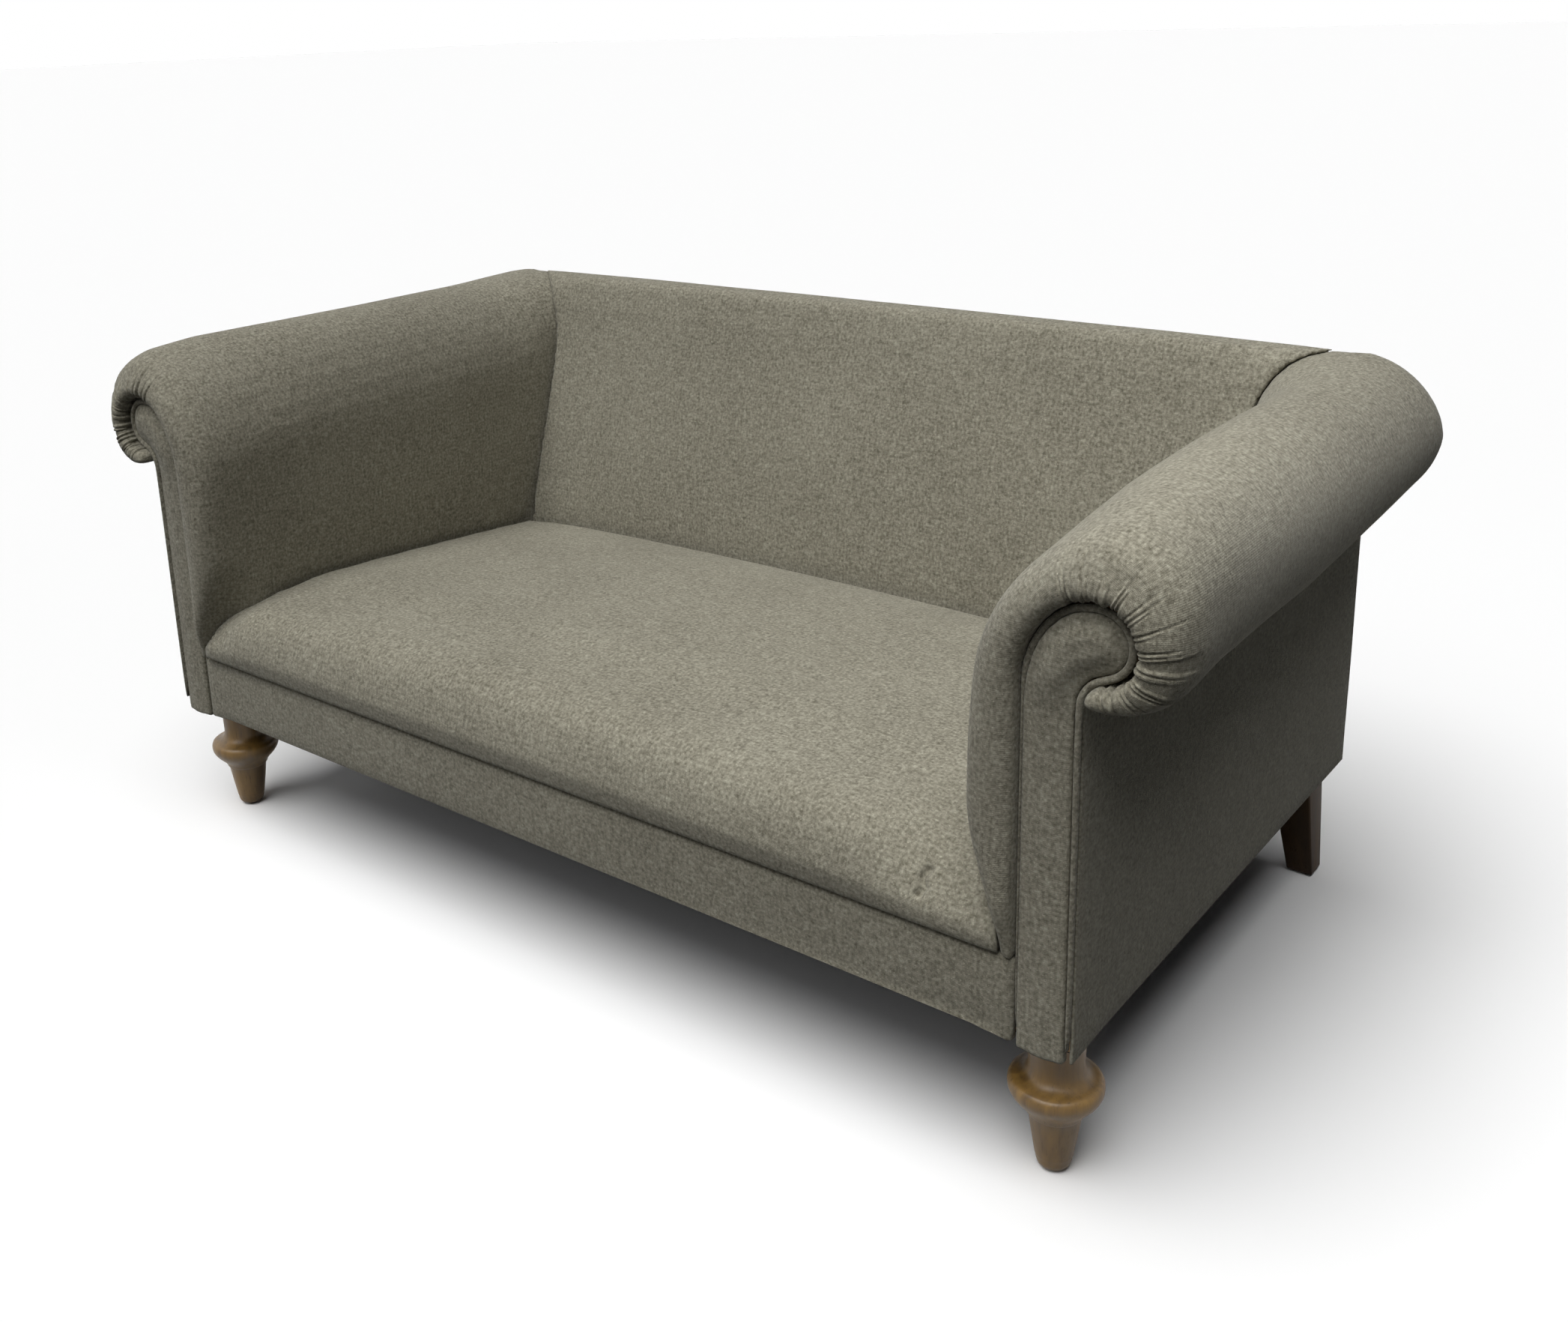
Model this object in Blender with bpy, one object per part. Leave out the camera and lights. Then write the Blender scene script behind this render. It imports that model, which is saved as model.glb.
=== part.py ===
"""Two-seat scroll-arm sofa with a tight seat, modelled the way an upholsterer builds it.

A beech frame stands on two turned front feet and two raked rear legs. Elastic straps span the
frame, foam pads with their covers wrap it, and flat cloth panels close its outside. The pieces
are measured from the facing plane (y = 0, front of the arms), the middle of the width (x = 0)
and the floor (z = 0), in metres. An empty then brings the origin to the middle of the footprint.
"""
import math
from collections import namedtuple

import bmesh
import bpy
from mathutils import Vector

# Driving dimensions: overall
BASE_WIDTH = 1.600          # outside arm panel to outside arm panel
BASE_DEPTH = 0.870          # facing plane to the outside of the back
TOP_HEIGHT = 0.800          # floor to the top of the back, at its ends
COVER_BOTTOM = 0.193        # floor to the lower edge of the covers
BORDER_HEIGHT = 0.101       # front border, from the covers' lower edge to the seat seam
GAP = 0.0003                # between pieces that touch
SOFT_GAP = 0.0012           # between pads that press on each other

# Arms
ARM_THICKNESS = 0.125       # inner face to the outside panel
ARM_DROP = 0.003            # arm top below the back's top, away from the corner
ARM_SHOULDER = 0.170        # height over which the inner face turns into the roll
ROLL_RADIUS = 0.108
ROLL_OVERHANG = 0.104       # roll past the outside panel
FRONT_ROLL_RADIUS = 0.088   # where the gathers draw the roll in
FRONT_OVERHANG = 0.110
FRONT_DROP = 0.012          # roll top at the front, below the arm's top
FRONT_TAPER = 0.400         # length over which the roll grows to its full size
CORNER_FULLNESS = 0.025     # extra stuffing where the arm meets the back
CORNER_LENGTH = 0.200
REAR_ROUND = 0.045          # length over which the roll's rear end rounds off
REAR_DRAW = 0.011           # how far the rear end is drawn in
REAR_TOP_DRAW = 0.003       # the same, along its top
ROLL_BELLY = 0.0145         # extra stuffing low on the roll's outer side, at the front
ROLL_WANE = 0.0130          # how much flatter the same side is at the rear
RIM_PROUD = 0.020           # padded rim in front of the facing plane
RIM_ROUND = 0.045           # rounding of the rim's outer edge
RIM_SWELL = 0.007           # extra stuffing in the rim, towards the seat
RIM_SWELL_LENGTH = 0.150
GATHERS = 14                # creases in the rim around the facing's head
GATHER_DEPTH = 0.004
GATHER_LENGTH = 0.045
MITRE_REACH = 0.050         # mitre seam ends this far inside the outside panel
MITRE_SLOPE = 0.807

# Front facing of the arm, and the welt around it
FACING_WIDTH = 0.072
FACING_SHOULDER = 0.1086    # height of the facing's curved shoulder
HEAD_RIM = 0.0464           # roll radius less the facing head's radius
HEAD_SHIFT = 0.008          # head centre inwards of the roll's centre
HEAD_LOWER = 0.026          # head centre below the roll's centre
THROAT_LENGTH = 0.033
FACING_THICKNESS = 0.0142
WELT_RADIUS = 0.0040
WELT_SETBACK = 0.0020       # welt centre behind the facing plane

# Seat and back pads
SEAT_HEIGHT = 0.391         # highest line of the seat beside the arm
SEAT_BACK_HEIGHT = 0.355
SEAT_PEAK = 0.220           # highest line of the seat, from the facing plane
SEAT_BULGE = 0.014          # seat front past the facing plane
SEAT_CROWN = 0.026
BACK_FOOT = 0.195           # thickness of the back at the seat seam, outside panel included
BACK_HEAD = 0.0777          # the same, under its rounded top
BACK_CROWN = 0.008
BACK_RISE = 0.004           # top of the back, higher in the middle than at its ends
BACK_PAD_FOOT = 0.070       # pad thickness at the seat
BACK_TOP_ROUND = 0.055
BACK_EDGE_ROUND = 0.0137    # along the top of the outside back

# Timber
BOARD = 0.025               # scroll boards and uprights
RAIL_THICKNESS = 0.030
TACK_RAIL = 0.024
TACK_RAIL_HEIGHT = 0.040
ARM_RAIL_WIDTH = 0.052
ARM_RAIL_HEIGHT = 0.050
TOP_RAIL_HEIGHT = 0.045
TOP_RAIL_DROP = 0.100       # underside of the back's top rail, below the back's top
UPRIGHT_TOP = 0.026         # width of an upright under the top rail
UPRIGHT_INSET = 0.200       # outer uprights, from the outside arm panel
MID_RAIL = 0.015
MID_RAIL_HEIGHT = 0.050
MID_RAIL_LEVEL = 0.550
STRETCHER_WIDTH = 0.060
STRETCHER_HEIGHT = 0.050
BLOCK_LEG = 0.110           # equal sides of a corner block
BLOCK_HEIGHT = 0.075
ARRIS = 0.002               # broken edges of the timber

# Straps and cloths
STRAP_WIDTH = 0.050
STRAP_THICKNESS = 0.0025
STRAPS_PER_BAY = 3
BACK_STRAPS = 3
HESSIAN = 0.0012
PANEL = 0.0040              # outside panels: card and cloth
PANEL_RISE = 0.020          # outside arm panel above the facing's throat
DUST_CLOTH = 0.0012
HEM = 0.004                 # frame above the covers' lower edge

# Feet
FOOT_INSET = 0.049          # front foot's axis, from the outside arm panel
FOOT_SETBACK = 0.070
TOE_RADIUS = 0.018
ANKLE_RADIUS = 0.031
COLLAR_RADIUS = 0.054
COLLAR_LEVEL = 0.108
COLLAR_HALF = 0.010
COVE_HEIGHT = 0.024
NECK_RADIUS = 0.031
FOOT_TOP_RADIUS = 0.033
LEG_OUTER = 0.025           # rear leg's outer face, inside the outside arm panel
LEG_TOP = 0.060             # square section under the frame
LEG_TOE = 0.038             # square section at the floor
LEG_BACK = 0.008            # rear leg's top, in front of the outside back
LEG_RAKE = 0.027            # backward lean over the height
BOLT_RADIUS = 0.0040
BOLT_IN_FOOT = 0.045
BOLT_IN_BLOCK = 0.055
GLIDE_RADIUS = 0.012
GLIDE_HEIGHT = 0.003

# Levels and planes that follow from the driving dimensions
HALF = BASE_WIDTH / 2
REAR = BASE_DEPTH - PANEL - GAP
SEAT_DEPTH = BASE_DEPTH - BACK_FOOT
FRAME_BOTTOM = COVER_BOTTOM + HEM
SEAM = COVER_BOTTOM + BORDER_HEIGHT
HESSIAN_BOTTOM = SEAM - GAP - HESSIAN
STRAP_BOTTOM = HESSIAN_BOTTOM - GAP - STRAP_THICKNESS
RAIL_TOP = STRAP_BOTTOM - GAP
FRONT_FRAME = FACING_THICKNESS + GAP
RAIL_BACK = FRONT_FRAME + RAIL_THICKNESS
BOARD_INSET = PANEL + GAP
BOARD_BACK = FRONT_FRAME + BOARD
REAR_BOARD = REAR - BOARD
ARM_TOP = TOP_HEIGHT - ARM_DROP
HEAD_RADIUS = FRONT_ROLL_RADIUS - HEAD_RIM
HEAD_U = FRONT_OVERHANG - FRONT_ROLL_RADIUS - HEAD_SHIFT
HEAD_Z = ARM_TOP - FRONT_DROP - FRONT_ROLL_RADIUS - HEAD_LOWER
HEAD_WRAP = math.radians(75)
DUST_TOP = FRAME_BOTTOM - GAP
LEG_HEIGHT = DUST_TOP - DUST_CLOTH - GAP
LEG_BASE = GLIDE_HEIGHT + GAP
UPRIGHT_BACK = REAR - MID_RAIL - GAP
UPRIGHT_X = HALF - UPRIGHT_INSET
TOP_RAIL_BOTTOM = TOP_HEIGHT - TOP_RAIL_DROP
TOP_RAIL_FRONT = UPRIGHT_BACK - UPRIGHT_TOP
LEG_TOE_BACK = BASE_DEPTH - LEG_BACK + LEG_RAKE
ORIGIN_Y = (LEG_TOE_BACK - RIM_PROUD) / 2
TOP_ROUND = min(BACK_TOP_ROUND, BACK_HEAD - PANEL - 2 * GAP - BACK_EDGE_ROUND)
BACK_PITCH = (BACK_FOOT - BACK_HEAD) / (TOP_HEIGHT - TOP_ROUND - SEAM)

# Spans in each stretch of an outline
POST_SPANS = 3
SHOULDER_SPANS = 8
SHOULDER_GATHERS = 2
HEAD_SPANS = 9
THROAT_SPANS = 4

# Character of the soft curves: a fullness of 2 is an ellipse, more is squarer, less is flatter
FRONT_FULLNESS = 1.7
ARM_FULLNESS = 2.0
CORNER_SQUARENESS = 3.0
ROLL_FULLNESS = 2.0
REAR_FLATNESS = 1.35
BELLY_MIDDLE = math.radians(-50)
BELLY_REACH = math.radians(60)
NOSE_FULLNESS = 2.6
NOSE_START = math.radians(14)
SEAT_FALL = 1.15            # above 1 the seat stays level for longer before it falls to the back
SEAT_SWELL = 0.6            # below 1 the seat's crown reaches nearer to its ends
SEAT_TUCK_SHARPNESS = 14
RIM_PULL = 0.62             # share of the rim's width by which its outer edge is drawn in
RIM_INNER_PULL = 0.50
FRONT_TUCK = 0.32           # end of the roll's cover at the front, as a share of the throat's reach
ROLL_TUCK = 0.06
SIDES = {"left": -1, "right": 1}
ArmShape = namedtuple("ArmShape", "radius overhang top inner shoulder crest belly tuck")
FINISHES = {
    "wool_cloth": ((0.215, 0.205, 0.160), 0.95, 0.0),
    "welt_cloth": ((0.190, 0.180, 0.140), 0.95, 0.0),
    "beech": ((0.560, 0.400, 0.240), 0.60, 0.0),
    "oak": ((0.330, 0.200, 0.090), 0.45, 0.0),
    "dark_oak": ((0.110, 0.070, 0.035), 0.50, 0.0),
    "elastic_strap": ((0.050, 0.050, 0.055), 0.80, 0.0),
    "hessian": ((0.420, 0.320, 0.190), 0.95, 0.0),
    "dust_cloth": ((0.015, 0.015, 0.015), 0.90, 0.0),
    "zinc_steel": ((0.550, 0.560, 0.570), 0.35, 1.0),
    "nylon": ((0.030, 0.028, 0.026), 0.50, 0.0),
}

for existing in list(bpy.data.objects):
    bpy.data.objects.remove(existing, do_unlink=True)
ROOT = bpy.data.objects.new("sofa_origin", None)
ROOT.location = (0.0, -ORIGIN_Y, 0.0)
bpy.context.scene.collection.objects.link(ROOT)


# Helpers

def finish_material(finish):
    """One Principled material for each finish."""
    known = bpy.data.materials.get(finish)
    if known:
        return known
    colour, roughness, metallic = FINISHES[finish]
    made = bpy.data.materials.new(finish)
    made.use_nodes = True
    shader = made.node_tree.nodes["Principled BSDF"]
    shader.inputs["Base Color"].default_value = (*colour, 1.0)
    shader.inputs["Roughness"].default_value = roughness
    shader.inputs["Metallic"].default_value = metallic
    return made


def add_part(name, bm, finish, smooth_degrees=None):
    """Turn a bmesh into a named object under the origin empty."""
    bmesh.ops.recalc_face_normals(bm, faces=bm.faces[:])
    mesh = bpy.data.meshes.new(name)
    bm.to_mesh(mesh)
    bm.free()
    mesh.materials.append(finish_material(finish))
    if smooth_degrees:
        mesh.shade_smooth()
        mesh.set_sharp_from_angle(angle=math.radians(smooth_degrees))
    made = bpy.data.objects.new(name, mesh)
    made.parent = ROOT
    bpy.context.scene.collection.objects.link(made)
    return made


def as_cutter(made):
    """A guide shape: it cuts other pieces and isn't a piece itself."""
    made.hide_render = True
    made.display_type = "WIRE"
    return made


def cut(made, cutter):
    """Take the cutter's shape out of a piece."""
    modifier = made.modifiers.new("cut_" + cutter.name, "BOOLEAN")
    modifier.operation = "DIFFERENCE"
    modifier.solver = "EXACT"
    modifier.object = cutter


def smooth_step(value):
    """0 to 1 with level ends."""
    value = min(max(value, 0.0), 1.0)
    return value * value * (3.0 - 2.0 * value)


def mix(first, second, share):
    return first + (second - first) * share


def spread(first, last, spans):
    """Evenly spaced values from first to last."""
    return [mix(first, last, step / spans) for step in range(spans + 1)]


def timber(name, low, high, finish="beech"):
    """A sawn board between two corners, with its edges broken."""
    low, high = Vector(low), Vector(high)
    bm = bmesh.new()
    bmesh.ops.create_cube(bm, size=1.0)
    bmesh.ops.scale(bm, vec=high - low, verts=bm.verts)
    bmesh.ops.translate(bm, vec=(low + high) / 2, verts=bm.verts)
    bmesh.ops.bevel(bm, geom=bm.edges[:], offset=ARRIS, segments=1, profile=0.5, affect="EDGES")
    return add_part(name, bm, finish)


def sheet(name, low, high, finish):
    """A thin flat cloth between two corners."""
    low, high = Vector(low), Vector(high)
    bm = bmesh.new()
    bmesh.ops.create_cube(bm, size=1.0)
    bmesh.ops.scale(bm, vec=high - low, verts=bm.verts)
    bmesh.ops.translate(bm, vec=(low + high) / 2, verts=bm.verts)
    return add_part(name, bm, finish)


def prism(name, outline, sweep, finish, edge=0.0, smooth_degrees=None):
    """A flat outline of 3-D points, pushed along the sweep vector."""
    bm = bmesh.new()
    verts = [bm.verts.new(point) for point in outline]
    face = bm.faces.new(verts)
    pushed = bmesh.ops.extrude_face_region(bm, geom=[face])
    moved = [item for item in pushed["geom"] if isinstance(item, bmesh.types.BMVert)]
    bmesh.ops.translate(bm, vec=sweep, verts=moved)
    if edge:
        rims = [item for item in bm.edges if on_one_cap(item, moved)]
        bmesh.ops.bevel(bm, geom=rims, offset=edge, segments=2, profile=0.5, affect="EDGES")
    return add_part(name, bm, finish, smooth_degrees)


def on_one_cap(edge, moved):
    """True for an edge whose two ends lie on the same cap of a prism."""
    return (edge.verts[0] in moved) == (edge.verts[1] in moved)


def cap(bm, ring, paired):
    """Close the end of a skin: one face, or rungs between the two halves of a paired loop."""
    if not paired:
        bm.faces.new(ring)
        return
    for i in range(len(ring) // 2 - 1):
        bm.faces.new((ring[i], ring[i + 1], ring[-i - 2], ring[-i - 1]))


def loft(name, sections, finish, smooth_degrees=None, paired=False):
    """A skin drawn through closed loops of points, one after another, with both ends capped."""
    bm = bmesh.new()
    ring = [bm.verts.new(point) for point in sections[0]]
    cap(bm, ring, paired)
    for first, second in zip(ring, ring[1:] + ring[:1]):
        if not bm.edges.get((first, second)):
            bm.edges.new((first, second))
    for section in sections[1:]:
        edges = [bm.edges.get((ring[i - 1], ring[i])) for i in range(len(ring))]
        drawn = bmesh.ops.extrude_edge_only(bm, edges=edges)
        fresh = {item for item in drawn["geom"] if isinstance(item, bmesh.types.BMVert)}
        follow = []
        for vert in ring:
            ends = [edge.other_vert(vert) for edge in vert.link_edges]
            follow.append(next(end for end in ends if end in fresh))
        for vert, point in zip(follow, section):
            vert.co = point
        ring = follow
    cap(bm, ring, paired)
    return add_part(name, bm, finish, smooth_degrees)


def turned(name, profile, centre, finish, steps=24):
    """A turned solid: a profile of (radius, z) from the axis to the axis, spun about Z."""
    bm = bmesh.new()
    verts = [bm.verts.new((radius, 0.0, z)) for radius, z in profile]
    edges = [bm.edges.new(pair) for pair in zip(verts, verts[1:])]
    bmesh.ops.spin(bm, geom=verts + edges, cent=(0, 0, 0), axis=(0, 0, 1), angle=math.tau,
                   steps=steps, use_merge=True)
    bmesh.ops.remove_doubles(bm, verts=bm.verts[:], dist=0.00001)
    bmesh.ops.translate(bm, vec=(*centre, 0.0), verts=bm.verts[:])
    return add_part(name, bm, finish, smooth_degrees=40)


def arm_point(side, u, y, z):
    """A point beside the outside arm panel: u is measured outwards from that panel."""
    return Vector((side * (HALF + u), y, z))


# The cane-shaped outline of an arm's facing

def throat_points():
    """The hollow curve under the facing's head, from the head down to the post's outer edge."""
    tip_u = HEAD_U + HEAD_RADIUS * math.cos(HEAD_WRAP)
    tip_z = HEAD_Z - HEAD_RADIUS * math.sin(HEAD_WRAP)
    knee_z = tip_z - tip_u * math.tan(math.pi / 2 - HEAD_WRAP)
    return (tip_u, tip_z), (0.0, knee_z), (0.0, knee_z - THROAT_LENGTH)


def on_throat(share):
    """A point of the throat's curve, a quadratic one with level tangents at its ends."""
    tip, knee, foot = throat_points()
    back = 1.0 - share
    weights = (back * back, 2.0 * back * share, share * share)
    return tuple(sum(w * p[axis] for w, p in zip(weights, (tip, knee, foot))) for axis in (0, 1))


def shoulder_and_head(head_spans):
    """The facing's shoulder and head, from the post's inner edge round to the throat."""
    top = HEAD_Z + HEAD_RADIUS
    start = top - FACING_SHOULDER
    points = []
    for angle in spread(0.0, math.pi / 2, SHOULDER_SPANS):
        u = HEAD_U - (HEAD_U + FACING_WIDTH) * math.cos(angle)
        points.append((u, start + FACING_SHOULDER * math.sin(angle)))
    for angle in spread(math.pi / 2, -HEAD_WRAP, head_spans)[1:]:
        points.append((HEAD_U + HEAD_RADIUS * math.cos(angle), HEAD_Z + HEAD_RADIUS * math.sin(angle)))
    return points


def cane_outline(bottom, inset):
    """The whole cane from its inner foot round to its outer foot, drawn in by the inset."""
    points = [(-FACING_WIDTH, bottom)] + shoulder_and_head(HEAD_SPANS)
    points += [on_throat(share) for share in spread(0.0, 1.0, THROAT_SPANS)[1:]]
    points.append((0.0, bottom))
    drawn = []
    for i, (u, z) in enumerate(points):
        before = points[max(i - 1, 0)]
        after = points[min(i + 1, len(points) - 1)]
        run = Vector((after[0] - before[0], after[1] - before[1])).normalized()
        lift = 0.0 if i in (0, len(points) - 1) else 1.0
        drawn.append((u + inset * run.y, z - inset * run.x * lift))
    return drawn


# The arm's padded section

def arm_shape(y):
    """Sizes of the arm's section at depth y."""
    grown = smooth_step(y / FRONT_TAPER)
    corner = smooth_step((y - REAR + CORNER_LENGTH) / CORNER_LENGTH)
    rear = drawn_in(REAR - y, REAR_ROUND, 1.0)
    swell = 1.0 - smooth_step((y + RIM_PROUD) / RIM_SWELL_LENGTH)
    risen = smooth_step((y + RIM_PROUD) / (FRONT_TAPER / 2))
    return ArmShape(
        radius=mix(FRONT_ROLL_RADIUS, ROLL_RADIUS, grown) - REAR_DRAW * rear,
        overhang=mix(FRONT_OVERHANG, ROLL_OVERHANG, grown) - REAR_DRAW * rear,
        top=ARM_TOP + ARM_DROP * corner - FRONT_DROP * (1.0 - risen) - REAR_TOP_DRAW * rear,
        inner=-ARM_THICKNESS - CORNER_FULLNESS * corner - RIM_SWELL * swell,
        shoulder=mix(mix(FRONT_FULLNESS, ARM_FULLNESS, grown), CORNER_SQUARENESS, corner),
        crest=mix(ROLL_FULLNESS, REAR_FLATNESS, rear),
        belly=mix(ROLL_BELLY, -ROLL_WANE, max(y, 0.0) / REAR),
        tuck=mix(FRONT_TUCK, ROLL_TUCK, grown) * throat_points()[0][0])


def drawn_in(depth, length, most):
    """Share by which an edge is drawn in, a quarter round over the given length."""
    ahead = 1.0 - min(max(depth / length, 0.0), 1.0)
    return most * (1.0 - math.sqrt(1.0 - ahead * ahead))


def signed_power(value, power):
    return math.copysign(abs(value) ** power, value)


def oval(angle, fullness):
    """A point of the unit oval of the given fullness."""
    return signed_power(math.cos(angle), 2 / fullness), signed_power(math.sin(angle), 2 / fullness)


def hump(angle):
    """Share of the belly at an angle round the roll."""
    aside = min(abs(angle - BELLY_MIDDLE) / BELLY_REACH, 1.0)
    return math.cos(aside * math.pi / 2) ** 2


def arm_outer(y, grow=0.0):
    """The arm's outer skin, from the foot of its inner face over the roll to its underside."""
    shape = arm_shape(y)
    radius, top, inner = shape.radius + grow, shape.top + grow, shape.inner - grow
    centre_u = shape.overhang + grow - radius
    centre_z = top - radius
    start = top - ARM_SHOULDER
    points = [(inner, z) for z in spread(SEAM - grow, start, POST_SPANS)[:-1]]
    for angle in spread(0.0, math.pi / 2, SHOULDER_SPANS):
        across, up = oval(angle, shape.shoulder)
        points.append((centre_u - (centre_u - inner) * across, start + ARM_SHOULDER * up))
    last = -math.acos((shape.tuck - centre_u) / radius)
    for angle in spread(math.pi / 2, last, 2 * GATHERS + THROAT_SPANS)[1:]:
        across, up = oval(angle, shape.crest if angle > 0 else ROLL_FULLNESS)
        reach = radius + shape.belly * hump(angle)
        points.append((centre_u + reach * across, centre_z + reach * up))
    return points


def arm_inner(y, grow=0.0):
    """The arm's inner skin, which lies along the cane outline, point for point with the outer."""
    start = HEAD_Z + HEAD_RADIUS - FACING_SHOULDER
    points = [(-FACING_WIDTH, z) for z in spread(SEAM - grow, start, POST_SPANS)[:-1]]
    points += shoulder_and_head(2 * GATHERS)
    last = 1.0 - math.sqrt(arm_shape(y).tuck / throat_points()[0][0])
    points += [on_throat(share) for share in spread(0.0, last, THROAT_SPANS)[1:]]
    return points


def crease(i, y):
    """How deep the rim is drawn back at point i: every other point around the head is a gather."""
    first = POST_SPANS + SHOULDER_SPANS - 2 * SHOULDER_GATHERS
    last = POST_SPANS + SHOULDER_SPANS + 2 * GATHERS
    if not first <= i <= last or (i - first) % 2 == 0:
        return 0.0
    return GATHER_DEPTH * (1.0 - smooth_step((y + RIM_PROUD) / GATHER_LENGTH))


def arm_section(side, y, grow=0.0):
    """One closed loop of the arm pad at depth y: its outer skin, then its inner skin back again."""
    pull_outer = drawn_in(y + RIM_PROUD, RIM_ROUND, RIM_PULL)
    pull_inner = drawn_in(y + RIM_PROUD, RIM_PROUD, RIM_INNER_PULL)
    loop = []
    back = []
    for i, ((ou, oz), (iu, iz)) in enumerate(zip(arm_outer(y, grow), arm_inner(y, grow))):
        mu, mz = (ou + iu) / 2, (oz + iz) / 2
        groove = crease(i, y)
        pull = pull_outer + groove / HEAD_RIM
        loop.append(arm_point(side, mix(ou, mu, pull), y + groove, mix(oz, mz, pull)))
        back.append(arm_point(side, mix(iu, mu, pull_inner), y + groove, mix(iz, mz, pull_inner)))
    return loop + back[::-1]


def inner_face(y):
    """The arm's inner face at depth y, with the rounding of its rim."""
    inner = arm_shape(y).inner
    return mix(inner, (inner - FACING_WIDTH) / 2, drawn_in(y + RIM_PROUD, RIM_ROUND, RIM_PULL))


def arm_stations():
    """Depths of the arm pad's sections: close together at the rim and at the rear end."""
    rim = [-RIM_PROUD + RIM_ROUND * share for share in (0.0, 0.10, 0.30, 0.60, 1.0)]
    taper = [mix(rim[-1], FRONT_TAPER, share) for share in (0.25, 0.55, 1.0)]
    corner = [REAR - CORNER_LENGTH * share for share in (1.0, 0.8, 0.5)]
    end = [REAR - REAR_ROUND * share for share in (0.85, 0.27, 0.0)]
    return rim + taper + corner + end


def mitre_wedge(name, side, shift):
    """The space behind the mitre seam, where the back pad runs past the arm's inner face."""
    reach = ARM_THICKNESS + CORNER_FULLNESS
    past = PANEL
    near = Vector((-MITRE_REACH, REAR))
    far = Vector((-MITRE_REACH - reach, REAR - reach * MITRE_SLOPE))
    plan = [near, far, Vector((far.x, REAR + past)), Vector((near.x, REAR + past))]
    outline = [arm_point(side, point.x, point.y + shift, SEAM - past) for point in plan]
    return as_cutter(prism(name, outline, (0, 0, TOP_HEIGHT - SEAM + 2 * past), "wool_cloth"))


def arm_pads():
    """The two stuffed arms. The roll, its drawn-in front rim and the full back corner are one skin."""
    for label, side in SIDES.items():
        sections = [arm_section(side, y) for y in arm_stations()]
        pad = loft("arm_pad_" + label, sections, "wool_cloth", 40, paired=True)
        cut(pad, mitre_wedge("wedge_" + label, side, 0.0))


def panel_top():
    """Upper edge of the outside arm panel, tucked up behind the roll."""
    return throat_points()[2][1] + PANEL_RISE


def board_outline():
    """A scroll board: the cane drawn in, with its outer edge set back to take the outside panel."""
    points = cane_outline(FRAME_BOTTOM, BOARD_INSET)
    level = panel_top() + GAP
    crest = max(range(len(points)), key=lambda i: points[i][1])
    below = next(i for i in range(crest, len(points)) if points[i][1] < level)
    (u0, z0), (u1, z1) = points[below - 1], points[below]
    step = (mix(u0, u1, (z0 - level) / (z0 - z1)), level)
    return points[:below] + [step, (-BOARD_INSET, level), (-BOARD_INSET, FRAME_BOTTOM)]


def arm_fronts():
    """Scroll boards, facings and the welt that covers each facing's edge."""
    board = board_outline()
    for label, side in SIDES.items():
        for end, y in (("front", FRONT_FRAME), ("rear", REAR_BOARD)):
            outline = [arm_point(side, u, y, z) for u, z in board]
            prism(end + "_scroll_board_" + label, outline, (0, BOARD, 0), "beech")
        inset = 2 * WELT_RADIUS + 4 * GAP
        outline = [arm_point(side, u, 0.0, z) for u, z in cane_outline(COVER_BOTTOM, inset)]
        prism("facing_panel_" + label, outline, (0, FACING_THICKNESS, 0), "wool_cloth",
              edge=FACING_THICKNESS / 4, smooth_degrees=50)
        route = cane_outline(COVER_BOTTOM, WELT_RADIUS + 2 * GAP)
        welt_tube("facing_welt_" + label, [arm_point(side, u, WELT_SETBACK, z) for u, z in route])


def welt_tube(name, route):
    """Covered cord sewn along a facing's edge."""
    curve = bpy.data.curves.new(name, "CURVE")
    curve.dimensions = "3D"
    curve.bevel_depth = WELT_RADIUS
    curve.bevel_resolution = 2
    curve.use_fill_caps = True
    spline = curve.splines.new("POLY")
    spline.points.add(len(route) - 1)
    for point, place in zip(spline.points, route):
        point.co = (*place, 1.0)
    curve.materials.append(finish_material("welt_cloth"))
    made = bpy.data.objects.new(name, curve)
    made.parent = ROOT
    bpy.context.scene.collection.objects.link(made)


# Seat and back pads

def back_face(z):
    """Depth of the inside back's straight face at height z."""
    return SEAT_DEPTH + (z - SEAM) * BACK_PITCH


def seat_line(y, rear):
    """Height of the seat beside an arm at depth y."""
    if y >= SEAT_PEAK:
        share = (y - SEAT_PEAK) / (rear - SEAT_PEAK)
        return mix(SEAT_HEIGHT, SEAT_BACK_HEIGHT, share ** SEAT_FALL)
    share = (SEAT_PEAK - y) / (SEAT_PEAK + SEAT_BULGE)
    return SEAM + (SEAT_HEIGHT - SEAM) * math.sqrt(max(1.0 - share ** NOSE_FULLNESS, 0.0))


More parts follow.
